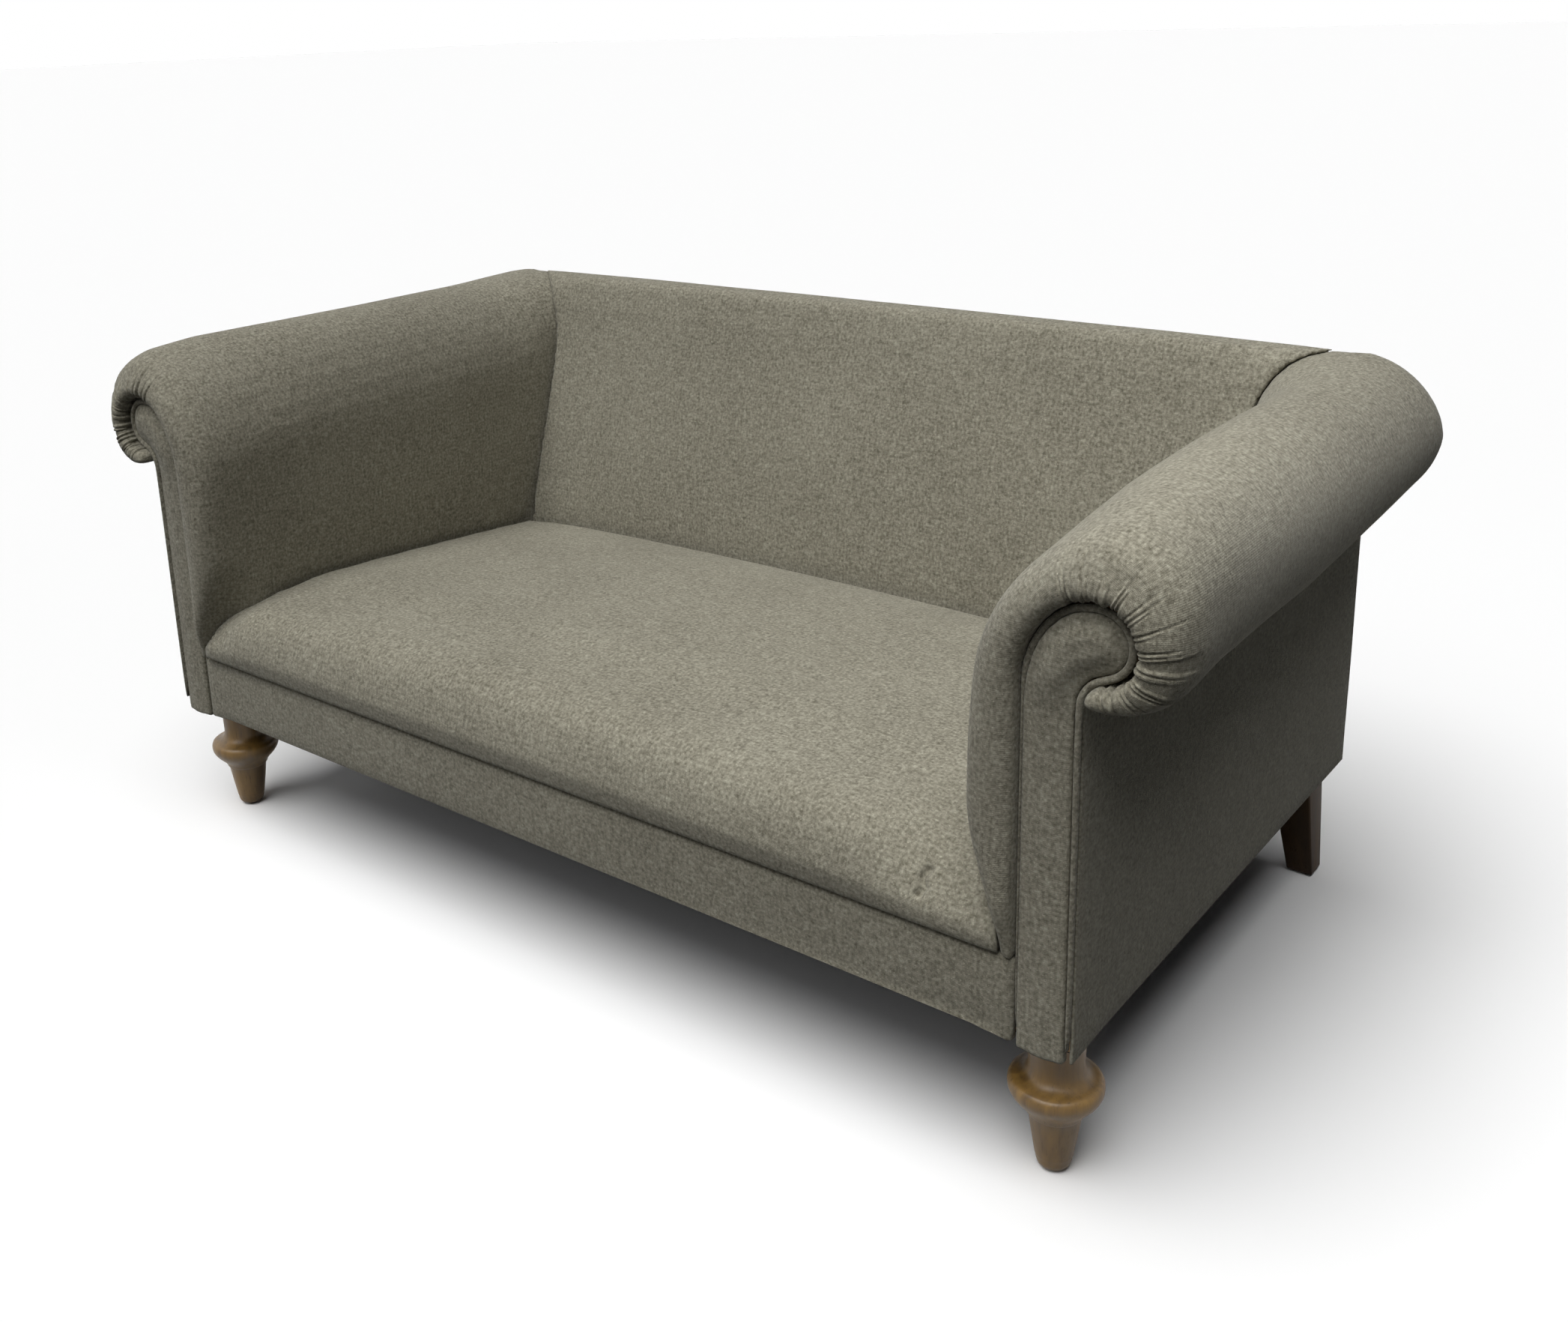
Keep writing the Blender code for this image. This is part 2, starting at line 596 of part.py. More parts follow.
def seat_section(share):
    """One closed loop of the seat, at a share of the half width from the middle."""
    tucked = SEAT_CROWN / 4 * abs(share) ** SEAT_TUCK_SHARPNESS
    rear_foot = SEAT_DEPTH - SOFT_GAP
    rear_top = back_face(SEAT_BACK_HEIGHT - tucked) - SOFT_GAP
    tuck = SEAT_BULGE / 2
    depths = [-SEAT_BULGE + (SEAT_PEAK + SEAT_BULGE) * (1.0 - math.cos(angle))
              for angle in spread(NOSE_START, math.pi / 2, 9)]
    depths += spread(SEAT_PEAK, rear_top, 6)[1:]
    top = [(tuck - SEAT_BULGE, SEAM + tuck / 3)]
    under = [(0.0, SEAM)]
    for y in depths:
        rise = math.sin(math.pi * (y + SEAT_BULGE) / (rear_top + SEAT_BULGE))
        crown = SEAT_CROWN * max(rise, 0.0) ** SEAT_SWELL * (1.0 - share * share)
        top.append((y, max(seat_line(y, rear_top) + crown - tucked, SEAM + tuck)))
        under.append((mix(tuck, rear_foot, (y - depths[0]) / (rear_top - depths[0])), SEAM))
    loop = []
    for y, z in top + under[::-1]:
        loop.append(Vector((share * (HALF + inner_face(y) - SOFT_GAP), y, z)))
    return loop


def seat_pad():
    """The tight seat: crowned, rolled over at the front and tucked in beside the arms."""
    shares = [math.sin(angle) for angle in spread(-math.pi / 2, math.pi / 2, 16)]
    loft("seat_pad", [seat_section(share) for share in shares], "wool_cloth", 60, paired=True)


def pad_back_line(z):
    """Depth of the back pad's rear side, which lies on the straps."""
    share = (z - SEAM) / (TOP_RAIL_BOTTOM - SEAM)
    return mix(SEAT_DEPTH + BACK_PAD_FOOT, TOP_RAIL_FRONT - STRAP_THICKNESS - 2 * GAP, share)


def back_section(share):
    """One closed loop of the back pad, at a share of its half width from the middle."""
    crown_foot = mix(SEAM, TOP_HEIGHT, 0.2)
    top = TOP_HEIGHT + BACK_RISE * (1.0 - share ** 4)
    face_top = top - TOP_ROUND
    points = []
    for z in spread(SEAM, face_top, 8):
        rise = min(max((z - crown_foot) / (face_top - crown_foot), 0.0), 1.0)
        bulge = BACK_CROWN * math.sin(math.pi * rise) * (1.0 - share * share)
        points.append((back_face(min(z, TOP_HEIGHT - TOP_ROUND)) - bulge, z))
    for angle in spread(0.0, math.pi / 2, 6)[1:]:
        y = back_face(TOP_HEIGHT - TOP_ROUND) + TOP_ROUND * (1.0 - math.cos(angle))
        points.append((y, face_top + TOP_ROUND * math.sin(angle)))
    edge = BACK_EDGE_ROUND
    points += [(REAR - edge, top), (REAR - edge / 4, top - edge / 4), (REAR, top - edge)]
    ledge = TOP_RAIL_BOTTOM + TOP_RAIL_HEIGHT + GAP
    notch = TOP_RAIL_FRONT - GAP
    points += [(REAR, ledge), (notch, ledge), (notch, TOP_RAIL_BOTTOM)]
    points += [(pad_back_line(z), z) for z in spread(TOP_RAIL_BOTTOM, SEAM, 3)]
    loop = []
    for y, z in points:
        mitre = -MITRE_REACH - (REAR - y) / MITRE_SLOPE
        end = max(-ARM_THICKNESS, mitre + MITRE_REACH / 3)
        loop.append(Vector((share * (HALF + end), y, z)))
    return loop


def back_pad():
    """The stuffed back. Its ends are cut to the arms: square on the inner face, then mitred."""
    shares = [math.sin(angle) for angle in spread(-math.pi / 2, math.pi / 2, 14)]
    pad = loft("back_pad", [back_section(share) for share in shares], "wool_cloth", 40)
    for label, side in SIDES.items():
        sections = [arm_section(side, y, SOFT_GAP) for y in arm_stations()]
        former = as_cutter(loft("arm_former_" + label, sections, "wool_cloth", paired=True))
        cut(former, mitre_wedge("former_wedge_" + label, side, SOFT_GAP))
        cut(pad, former)


# Timber frame

def seat_frame():
    """Front, back and side rails, the stretcher and the corner blocks that hold the feet."""
    inner_end = HALF - FACING_WIDTH + BOARD_INSET - GAP
    timber("front_rail", (-inner_end, FRONT_FRAME, FRAME_BOTTOM), (inner_end, RAIL_BACK, RAIL_TOP))
    back_front = REAR - RAIL_THICKNESS
    timber("back_rail", (-inner_end, back_front, FRAME_BOTTOM), (inner_end, REAR, RAIL_TOP))
    for label, side in SIDES.items():
        outer = side * (HALF - BOARD_INSET)
        inner = side * (HALF - BOARD_INSET - RAIL_THICKNESS)
        low = (min(outer, inner), BOARD_BACK + GAP, FRAME_BOTTOM)
        timber("side_rail_" + label, low, (max(outer, inner), REAR_BOARD - GAP, RAIL_TOP))
        corner_u = -BOARD_INSET - RAIL_THICKNESS - GAP
        corner_block("corner_block_front_" + label, side, corner_u, RAIL_BACK + GAP, 1)
        corner_block("corner_block_rear_" + label, side, corner_u, back_front - GAP, -1)
    half = STRETCHER_WIDTH / 2
    timber("seat_stretcher", (-half, RAIL_BACK + GAP, FRAME_BOTTOM),
           (half, back_front - GAP, FRAME_BOTTOM + STRETCHER_HEIGHT))


def corner_block(name, side, u, y, towards):
    """A three-cornered block glued into a corner of the rails."""
    plan = ((u, y), (u - BLOCK_LEG, y), (u, y + towards * BLOCK_LEG))
    outline = [arm_point(side, pu, py, FRAME_BOTTOM) for pu, py in plan]
    block = prism(name, outline, (0, 0, BLOCK_HEIGHT), "beech")
    end, label = name.split("_")[2:]
    cut(block, bpy.data.objects["bolt_hole_" + end + "_" + label])


def arm_frame():
    """Rails that run from the front scroll board to the rear one, inside each arm."""
    start, stop = BOARD_BACK + GAP, REAR_BOARD - GAP
    for label, side in SIDES.items():
        middle = HEAD_U - HEAD_RADIUS / 4
        level = HEAD_Z - HEAD_RADIUS / 6
        ends = [side * (HALF + middle + half) for half in (-ARM_RAIL_WIDTH / 2, ARM_RAIL_WIDTH / 2)]
        timber("arm_top_rail_" + label, (min(ends), start, level - ARM_RAIL_HEIGHT / 2),
               (max(ends), stop, level + ARM_RAIL_HEIGHT / 2))
        face = -FACING_WIDTH + 2 * GAP
        ends = [side * (HALF + u) for u in (face, face + TACK_RAIL)]
        low = SEAM + HEM
        timber("arm_tack_rail_" + label, (min(ends), start, low), (max(ends), stop, low + TACK_RAIL_HEIGHT))


def upright_front(z):
    """Depth of the uprights' leaning front edge at height z."""
    return pad_back_line(z) + STRAP_THICKNESS + 2 * GAP


def back_frame():
    """Leaning uprights on the back rail, tied by a top rail, a mid rail and tack rails."""
    foot = RAIL_TOP + GAP
    head = TOP_RAIL_BOTTOM - GAP
    places = {"left": -UPRIGHT_X, "centre": 0.0, "right": UPRIGHT_X}
    for label, x in places.items():
        side_view = ((upright_front(foot), foot), (UPRIGHT_BACK, foot), (UPRIGHT_BACK, head),
                     (upright_front(head), head))
        outline = [Vector((x - BOARD / 2, y, z)) for y, z in side_view]
        prism("back_upright_" + label, outline, (BOARD, 0, 0), "beech")
    reach = UPRIGHT_X + BOARD / 2
    timber("back_top_rail", (-reach - BOARD, TOP_RAIL_FRONT, TOP_RAIL_BOTTOM),
           (reach + BOARD, REAR, TOP_RAIL_BOTTOM + TOP_RAIL_HEIGHT))
    inner_end = HALF - FACING_WIDTH + BOARD_INSET - GAP
    timber("back_mid_rail", (-inner_end, REAR - MID_RAIL, MID_RAIL_LEVEL),
           (inner_end, REAR, MID_RAIL_LEVEL + MID_RAIL_HEIGHT))
    low = SEAM + HEM
    high = low + TACK_RAIL_HEIGHT
    front = upright_front(high)
    near, far = BOARD / 2 + GAP, UPRIGHT_X - BOARD / 2 - GAP
    timber("back_tack_rail_left", (-far, front, low), (-near, front + TACK_RAIL, high))
    timber("back_tack_rail_right", (near, front, low), (far, front + TACK_RAIL, high))


# Straps and cloths

def straps():
    """Elastic straps: along the seat from rail to rail, and across the back's uprights."""
    near, far = BOARD / 2, UPRIGHT_X - BOARD / 2
    pitch = (far - near) / STRAPS_PER_BAY
    number = 0
    for side in (-1, 1):
        for turn in range(STRAPS_PER_BAY):
            number += 1
            x = side * (near + pitch * (turn + 0.5))
            low = (x - STRAP_WIDTH / 2, FRONT_FRAME + ARRIS, STRAP_BOTTOM)
            high = (x + STRAP_WIDTH / 2, REAR - ARRIS, STRAP_BOTTOM + STRAP_THICKNESS)
            sheet("seat_strap_" + str(number), low, high, "elastic_strap")
    reach = UPRIGHT_X + BOARD / 2
    base = SEAM + HEM + TACK_RAIL_HEIGHT
    step = (TOP_RAIL_BOTTOM - base) / BACK_STRAPS
    for turn in range(BACK_STRAPS):
        middle = base + step * (turn + 0.5)
        low, high = middle - STRAP_WIDTH / 2, middle + STRAP_WIDTH / 2
        front = STRAP_THICKNESS + GAP
        side_view = ((upright_front(low) - front, low), (upright_front(low) - GAP, low),
                     (upright_front(high) - GAP, high), (upright_front(high) - front, high))
        outline = [Vector((-reach, y, z)) for y, z in side_view]
        prism("back_strap_" + str(turn + 1), outline, (2 * reach, 0, 0), "elastic_strap")


def cloths():
    """Seat hessian, dust cloth, front border and the flat outside panels."""
    half = HALF - ARM_THICKNESS - SOFT_GAP
    stop = upright_front(RAIL_TOP) - HEM
    low, high = (-half, FRONT_FRAME, HESSIAN_BOTTOM), (half, stop, HESSIAN_BOTTOM + HESSIAN)
    sheet("seat_hessian", low, high, "hessian")
    half = HALF - BOARD_INSET
    low, high = (-half, FRONT_FRAME, DUST_TOP - DUST_CLOTH), (half, REAR, DUST_TOP)
    dust = sheet("dust_cover", low, high, "dust_cloth")
    for label in SIDES:
        for end in ("front", "rear"):
            cut(dust, bpy.data.objects["bolt_hole_" + end + "_" + label])
    end = HALF - FACING_WIDTH - GAP
    side_view = ((0.0, COVER_BOTTOM), (FACING_THICKNESS, COVER_BOTTOM), (FACING_THICKNESS, SEAM - GAP),
                 (0.0, SEAM - GAP))
    outline = [Vector((-end, y, z)) for y, z in side_view]
    border = prism("front_border", outline, (2 * end, 0, 0), "wool_cloth")
    rounding = border.modifiers.new("rounding", "BEVEL")
    rounding.width = FACING_THICKNESS / 4
    rounding.segments = 2
    for label, side in SIDES.items():
        ends = [side * HALF, side * (HALF - PANEL)]
        front = WELT_SETBACK + WELT_RADIUS + GAP
        sheet("outside_arm_panel_" + label, (min(ends), front, COVER_BOTTOM), (max(ends), REAR, panel_top()),
              "wool_cloth")


def outside_back():
    """One flat panel over the whole back, with an ear that follows each roll's end."""
    margin = PANEL
    ear = arm_outer(REAR, -margin)[POST_SPANS + SHOULDER_SPANS::2]
    level = TOP_HEIGHT - 2 * BACK_EDGE_ROUND
    half_line = [(0.0, COVER_BOTTOM), (0.0, ear[-1][1])] + ear[::-1]
    half_line.append((ear[0][0] - MITRE_REACH, level))
    right = [arm_point(1, u, REAR + GAP, z) for u, z in half_line]
    left = [arm_point(-1, u, REAR + GAP, z) for u, z in half_line]
    prism("outside_back_panel", right + left[::-1], (0, PANEL, 0), "wool_cloth")


# Feet

def foot_centres():
    """Bolt axes of the four feet, by end and side."""
    rear_top = BASE_DEPTH - LEG_BACK - LEG_TOP / 2
    return {"front": (-FOOT_INSET, FOOT_SETBACK), "rear": (-LEG_OUTER - LEG_TOP / 2, rear_top)}


def bolt_holes():
    """Cutters for the bolts, shared by the feet, the dust cover and the corner blocks."""
    for end, (u, y) in foot_centres().items():
        for label, side in SIDES.items():
            low, high = LEG_HEIGHT - BOLT_IN_FOOT - GAP, FRAME_BOTTOM + BOLT_IN_BLOCK + GAP
            radius = BOLT_RADIUS + GAP
            profile = ((0.0, high), (radius, high), (radius, low), (0.0, low))
            centre = (side * (HALF + u), y)
            as_cutter(turned("bolt_hole_" + end + "_" + label, profile, centre, "nylon", steps=12))


def front_foot_profile():
    """The turned foot from its top down: neck, collar, cove and tapering shank."""
    crest = COLLAR_RADIUS - COLLAR_HALF / 2
    upper, lower = COLLAR_LEVEL + COLLAR_HALF, COLLAR_LEVEL - COLLAR_HALF
    points = [(0.0, LEG_HEIGHT), (FOOT_TOP_RADIUS, LEG_HEIGHT), (NECK_RADIUS, upper + COVE_HEIGHT * 0.6)]
    points.append((mix(NECK_RADIUS, crest, 0.35), upper + COVE_HEIGHT * 0.25))
    for angle in spread(math.pi / 2, -math.pi / 2, 6):
        level = COLLAR_LEVEL + COLLAR_HALF * math.sin(angle)
        points.append((crest + COLLAR_HALF / 2 * math.cos(angle), level))
    for angle in spread(0.0, math.pi / 2, 4)[1:]:
        radius = mix(crest, ANKLE_RADIUS, math.sin(angle))
        points.append((radius, lower - COVE_HEIGHT * (1.0 - math.cos(angle))))
    points.append((TOE_RADIUS, LEG_BASE + GLIDE_HEIGHT))
    points.append((TOE_RADIUS - GLIDE_HEIGHT, LEG_BASE))
    points.append((0.0, LEG_BASE))
    return points


def feet():
    """Turned front feet, raked rear legs, their bolts and glides."""
    centres = foot_centres()
    for label, side in SIDES.items():
        u, y = centres["front"]
        axis = (side * (HALF + u), y)
        foot = turned("front_foot_" + label, front_foot_profile(), axis, "oak")
        cut(foot, bpy.data.objects["bolt_hole_front_" + label])
        glide("glide_front_" + label, axis)
        bolt("leg_bolt_front_" + label, axis)
        leg_top = leg_square(side, LEG_TOP, BASE_DEPTH - LEG_BACK, LEG_HEIGHT)
        leg_toe = leg_square(side, LEG_TOE, LEG_TOE_BACK, LEG_BASE)
        leg = loft("rear_leg_" + label, [leg_toe, leg_top], "dark_oak")
        cut(leg, bpy.data.objects["bolt_hole_rear_" + label])
        glide("glide_rear_" + label, (side * (HALF - LEG_OUTER - LEG_TOE / 2), LEG_TOE_BACK - LEG_TOE / 2))
        u, y = centres["rear"]
        bolt("leg_bolt_rear_" + label, (side * (HALF + u), y))


def leg_square(side, size, back, z):
    """A square of the rear leg at height z, flush with the leg's outer and back faces."""
    corners = ((0, 0), (0, 1), (1, 1), (1, 0))
    return [arm_point(side, -LEG_OUTER - size * across, back - size * along, z) for across, along in corners]


def glide(name, centre):
    """A nail-on glide under a foot."""
    rim = GLIDE_RADIUS - GLIDE_HEIGHT / 2
    profile = ((0.0, GLIDE_HEIGHT), (GLIDE_RADIUS, GLIDE_HEIGHT), (GLIDE_RADIUS, GLIDE_HEIGHT / 2),
               (rim, 0.0), (0.0, 0.0))
    turned(name, profile, centre, "nylon", steps=16)


def bolt(name, centre):
    """The double-ended bolt that holds a foot to its corner block."""
    low, high = LEG_HEIGHT - BOLT_IN_FOOT, FRAME_BOTTOM + BOLT_IN_BLOCK
    profile = ((0.0, high), (BOLT_RADIUS, high), (BOLT_RADIUS, low), (0.0, low))
    turned(name, profile, centre, "zinc_steel", steps=12)


bolt_holes()
feet()
seat_frame()
arm_frame()
back_frame()
straps()
arm_fronts()
arm_pads()
seat_pad()
back_pad()
cloths()
outside_back()
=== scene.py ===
# %% [markdown]
# # A scroll-arm sofa in wool tweed
#
# The sofa is a beech frame dressed in one tweed: a crowned seat, a tight back, and two arms that roll
# outwards and end in gathers round a cane-shaped facing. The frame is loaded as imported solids, and this
# lesson dresses it. The covers could be sculpted by hand, but copies of the solids, filled like stuffed pads,
# keep every size true.

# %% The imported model
import math

import bmesh
import bpy
import numpy as np
from mathutils import Matrix, Vector, noise
from mathutils.bvhtree import BVHTree


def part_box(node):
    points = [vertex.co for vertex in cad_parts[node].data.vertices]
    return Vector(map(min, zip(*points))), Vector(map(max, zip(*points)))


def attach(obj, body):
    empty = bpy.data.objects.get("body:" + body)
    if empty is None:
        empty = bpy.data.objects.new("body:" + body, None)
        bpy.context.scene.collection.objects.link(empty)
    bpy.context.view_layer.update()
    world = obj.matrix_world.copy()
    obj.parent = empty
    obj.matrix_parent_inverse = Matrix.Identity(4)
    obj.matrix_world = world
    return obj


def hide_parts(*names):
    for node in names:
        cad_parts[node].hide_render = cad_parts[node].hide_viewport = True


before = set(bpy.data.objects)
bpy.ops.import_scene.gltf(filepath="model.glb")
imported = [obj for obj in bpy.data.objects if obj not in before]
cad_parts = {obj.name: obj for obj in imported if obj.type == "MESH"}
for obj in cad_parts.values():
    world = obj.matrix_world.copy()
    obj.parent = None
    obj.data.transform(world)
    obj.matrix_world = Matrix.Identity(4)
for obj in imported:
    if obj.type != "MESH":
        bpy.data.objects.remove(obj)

scene = bpy.context.scene
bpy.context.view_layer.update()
SIDES = {"left": -1, "right": 1}


def added(name, data):
    """A new object in the scene."""
    thing = bpy.data.objects.new(name, data)
    scene.collection.objects.link(thing)
    return thing


# %% [markdown]
# ## The camera
#
# The picture was taken from the front right, a little above the arms, with the camera slightly tilted. A
# camera could be placed by eye, but one that was fitted to the straight edges of the frame shows every piece
# where the photograph has it. The shift stands for a picture that was cropped off-centre.

# %% Camera
PICTURE = (2093, 1764)
FOCAL = 2132.1
OPTICAL_CENTRE = (943.4, 612.7)
AZIMUTH, ELEVATION, ROLL = (math.radians(a) for a in (39.3175, 15.6354, -1.9397))
STANDPOINT = (1.4356, -1.7787, 1.2717)

backwards = Vector((
    math.sin(AZIMUTH) * math.cos(ELEVATION),
    -math.cos(AZIMUTH) * math.cos(ELEVATION),
    math.sin(ELEVATION),
))
level = (-backwards).cross(Vector((0, 0, 1))).normalized()
upright = level.cross(-backwards)
rightwards = math.cos(ROLL) * level + math.sin(ROLL) * upright
upwards = math.cos(ROLL) * upright - math.sin(ROLL) * level

lens = bpy.data.cameras.new("camera")
lens.sensor_fit = "HORIZONTAL"
lens.sensor_width = 36
lens.lens = FOCAL / PICTURE[0] * lens.sensor_width
lens.shift_x = (PICTURE[0] / 2 - OPTICAL_CENTRE[0]) / PICTURE[0]
lens.shift_y = (OPTICAL_CENTRE[1] - PICTURE[1] / 2) / PICTURE[0]
camera = added("camera", lens)
turned = Matrix((rightwards, upwards, backwards)).transposed().to_4x4()
camera.matrix_world = Matrix.Translation(STANDPOINT) @ turned
scene.camera = camera
print("lens of", round(lens.lens, 1), "mm at", STANDPOINT)

# %% [markdown]
# ## Wires for shader nodes
#
# A finish is a small network of nodes. It could be drawn in the shader editor; in a script it reads better as
# sums. This class wraps a node's output so that it can be added and multiplied like a number. Its method node
# adds any other node: settings come first, then the values or wires of its sockets.

# %% Wire
class Wire:
    """A node's output that can stand in a Python expression."""

    def __init__(self, tree, socket):
        self.tree = tree
        self.socket = socket

    def node(self, kind, settings=None, sockets=None, out=0):
        """Add a node to the same finish, and return a wire from one of its outputs."""
        made = self.tree.nodes.new(kind)
        for name, value in (settings or {}).items():
            if name == "stops":
                ramp = made.color_ramp.elements
                for spot, _ in value[1:-1]:
                    ramp.new(spot)
                for stop, (spot, colour) in zip(ramp, value):
                    stop.position = spot
                    stop.color = (*colour, 1)
            else:
                setattr(made, name, value)
        for name, value in (sockets or {}).items():
            plug(value, made, name)
        return Wire(self.tree, made.outputs[out])

    def maths(self, operation, first, second=0.0):
        """One sum of two wires or numbers."""
        return self.node("ShaderNodeMath", {"operation": operation}, {0: first, 1: second})

    def __add__(self, other):
        return self.maths("ADD", self, other)

    def __sub__(self, other):
        return self.maths("SUBTRACT", self, other)

    def __rsub__(self, other):
        return self.maths("SUBTRACT", other, self)

    def __mul__(self, other):
        return self.maths("MULTIPLY", self, other)

    def __truediv__(self, other):
        return self.maths("DIVIDE", self, other)

    def __abs__(self):
        return self.maths("ABSOLUTE", self)

    __radd__ = __add__
    __rmul__ = __mul__

    def wave(self):
        """The sine of this value."""
        return self.maths("SINE", self)

    def clipped(self):
        """This value, held between 0 and 1."""
        return self.node("ShaderNodeClamp", None, {"Value": self})

    def stretched(self, scale):
        """A coordinate with each axis scaled on its own."""
        return self.node("ShaderNodeVectorMath", {"operation": "MULTIPLY"}, {0: self, 1: scale})

    def grain(self, scale, detail=2.0, distortion=0.0):
        """Soft noise along a coordinate, about 0.5 in the middle."""
        return self.node("ShaderNodeTexNoise", None, {
            "Vector": self, "Scale": scale, "Detail": detail, "Distortion": distortion,
        })

    def threads(self, width, axes=(0, 1)):
        """The heights of a plain weave along two axes of a coordinate."""
        turns = math.pi / width
        first, second = (self.node("ShaderNodeSeparateXYZ", None, {0: self}, out=a) * turns for a in axes)
        over = (first.wave() * second.wave() * 3 + 0.5).clipped()
        return abs(first.wave()) * over + abs(second.wave()) * (1 - over)

    def blended(self, first, second):
        """Two colours mixed by this value."""
        return self.node("ShaderNodeMix", {"data_type": "RGBA"}, {0: self, 6: first, 7: second}, out=2)


def daylight(red, green, blue):
    """A colour as a screen shows it, 0 to 255, as the linear colour that a shader takes."""
    return tuple(((c / 255 + 0.055) / 1.055) ** 2.4 if c > 10 else c / 255 / 12.92 for c in (red, green, blue))


def paint(colour):
    """A colour with full cover, as a socket takes it."""
    return (*colour, 1.0)


def new_finish(name):
    """An empty finish: its material, its shader and a wire from the object's coordinates."""
    material = bpy.data.materials.new(name)
    material.use_nodes = True
    tree = material.node_tree
    shader = tree.nodes["Principled BSDF"]
    coordinates = tree.nodes.new("ShaderNodeTexCoord")
    return material, shader, Wire(tree, coordinates.outputs["Object"])


def plug(value, shader, name):
    """Lead a wire or a plain value into one socket of a node."""
    if isinstance(value, Wire):
        value.tree.links.new(value.socket, shader.inputs[name])
    else:
        shader.inputs[name].default_value = value


def emboss(height, shader, strength, distance):
    """Raise a surface by the value of a wire."""
    bump = {"Strength": strength, "Distance": distance, "Height": height}
    plug(height.node("ShaderNodeBump", None, bump), shader, "Normal")


print("a screen's mid grey is", round(daylight(128, 128, 128)[0], 3), "in a shader")

# %% [markdown]
# ## Wool tweed
#
# The cover is a grey-green to taupe wool with small light and dark flecks. A picture of cloth could be
# wrapped on it, but noise needs no image and never stretches. Three things make it tweed: uneven yarns that
# run along and across, flecks of other wool spun into them, and a raised weave. The yarns follow an attribute
# that each cover gets when it is made, so they run with the cloth over the rolls.

# %% Wool
YARN = 0.0022
WOOL_DARK = daylight(96, 92, 78)
WOOL_MID = daylight(136, 132, 117)
WOOL_LIGHT = daylight(171, 168, 151)
FLECK_LIGHT = daylight(205, 200, 180)
FLECK_DARK = daylight(58, 52, 40)
WELT_YARN = YARN * 0.8
WELT_DARK, WELT_MID, WELT_LIGHT = daylight(90, 86, 73), daylight(130, 126, 112), daylight(168, 165, 148)
SLUB_WIDTH, SLUB_LENGTH = 0.6, 40
MOTTLE_SCALE, BROAD_SCALE, HAIR_SCALE = 230, 5, 700
PALE_SCALE, PALE_ABOVE, PALE_SHARE = 360, 0.62, 0.38
DEEP_SCALE, DEEP_ABOVE, DEEP_SHARE = 310, 0.63, 0.42
FLECK_EDGE = 7


def tweed(name, yarn, dark, middle, light):
    """Wool cloth whose yarns lie along the first two values of the attribute 'weave'."""
    material, shader, place = new_finish(name)
    weave = place.node("ShaderNodeAttribute", {"attribute_name": "weave"}, out=1)
    warp = weave.stretched((SLUB_WIDTH / yarn, SLUB_LENGTH, 0)).grain(1.0)
    weft = weave.stretched((SLUB_LENGTH, SLUB_WIDTH / yarn, 0)).grain(1.0)
    slubs = (warp + weft) * 0.5
    mottle = place.grain(MOTTLE_SCALE, 3.0)
    broad = place.grain(BROAD_SCALE)
    tone = mottle * 0.55 + slubs * 0.35 + broad * 0.10
    wool = tone.node("ShaderNodeValToRGB", {"stops": [(0.34, dark), (0.5, middle), (0.68, light)]}, {0: tone})
    pale = ((place.grain(PALE_SCALE, 1.0) - PALE_ABOVE) * FLECK_EDGE).clipped() * PALE_SHARE
    apart = place.stretched((1, 1, 1.3))
    deep = ((apart.grain(DEEP_SCALE, 1.0) - DEEP_ABOVE) * FLECK_EDGE).clipped() * DEEP_SHARE
    wool = deep.blended(pale.blended(wool, paint(FLECK_LIGHT)), paint(FLECK_DARK))
    plug(wool, shader, "Base Color")

    emboss(weave.threads(yarn) * 0.55 + place.grain(HAIR_SCALE, 3.0) * 0.6, shader, 0.55, 0.0009)
    plug(0.97 - pale * 0.15, shader, "Roughness")
    plug(0.25, shader, "Specular IOR Level")
    plug(0.12, shader, "Sheen Weight")
    plug(0.5, shader, "Sheen Roughness")
    return material


wool_cloth = tweed("wool_tweed", YARN, WOOL_DARK, WOOL_MID, WOOL_LIGHT)
welt_cloth = tweed("welt_tweed", WELT_YARN, WELT_DARK, WELT_MID, WELT_LIGHT)
print("wool finishes:", wool_cloth.name, welt_cloth.name)

# %% [markdown]
# ## Timber
#
# The front feet are oak turned and waxed to a golden brown, and the hidden frame is pale beech. The rear legs
# are oak too, but coloured much darker than the feet: painted shade for the shadow they stand in under the
# sofa. Grain could be painted ring by ring; noise that is squeezed across the fibres and drawn out along them
# gives the same streaks at any angle. Each length of timber is told which way its fibres run.

# %% Oak and beech
FIBRE_DRAWN = 0.07
FIGURE_SCALE, STREAK_SCALE, PORE_SCALE, PORE_ABOVE = 45, 160, 420, 0.60


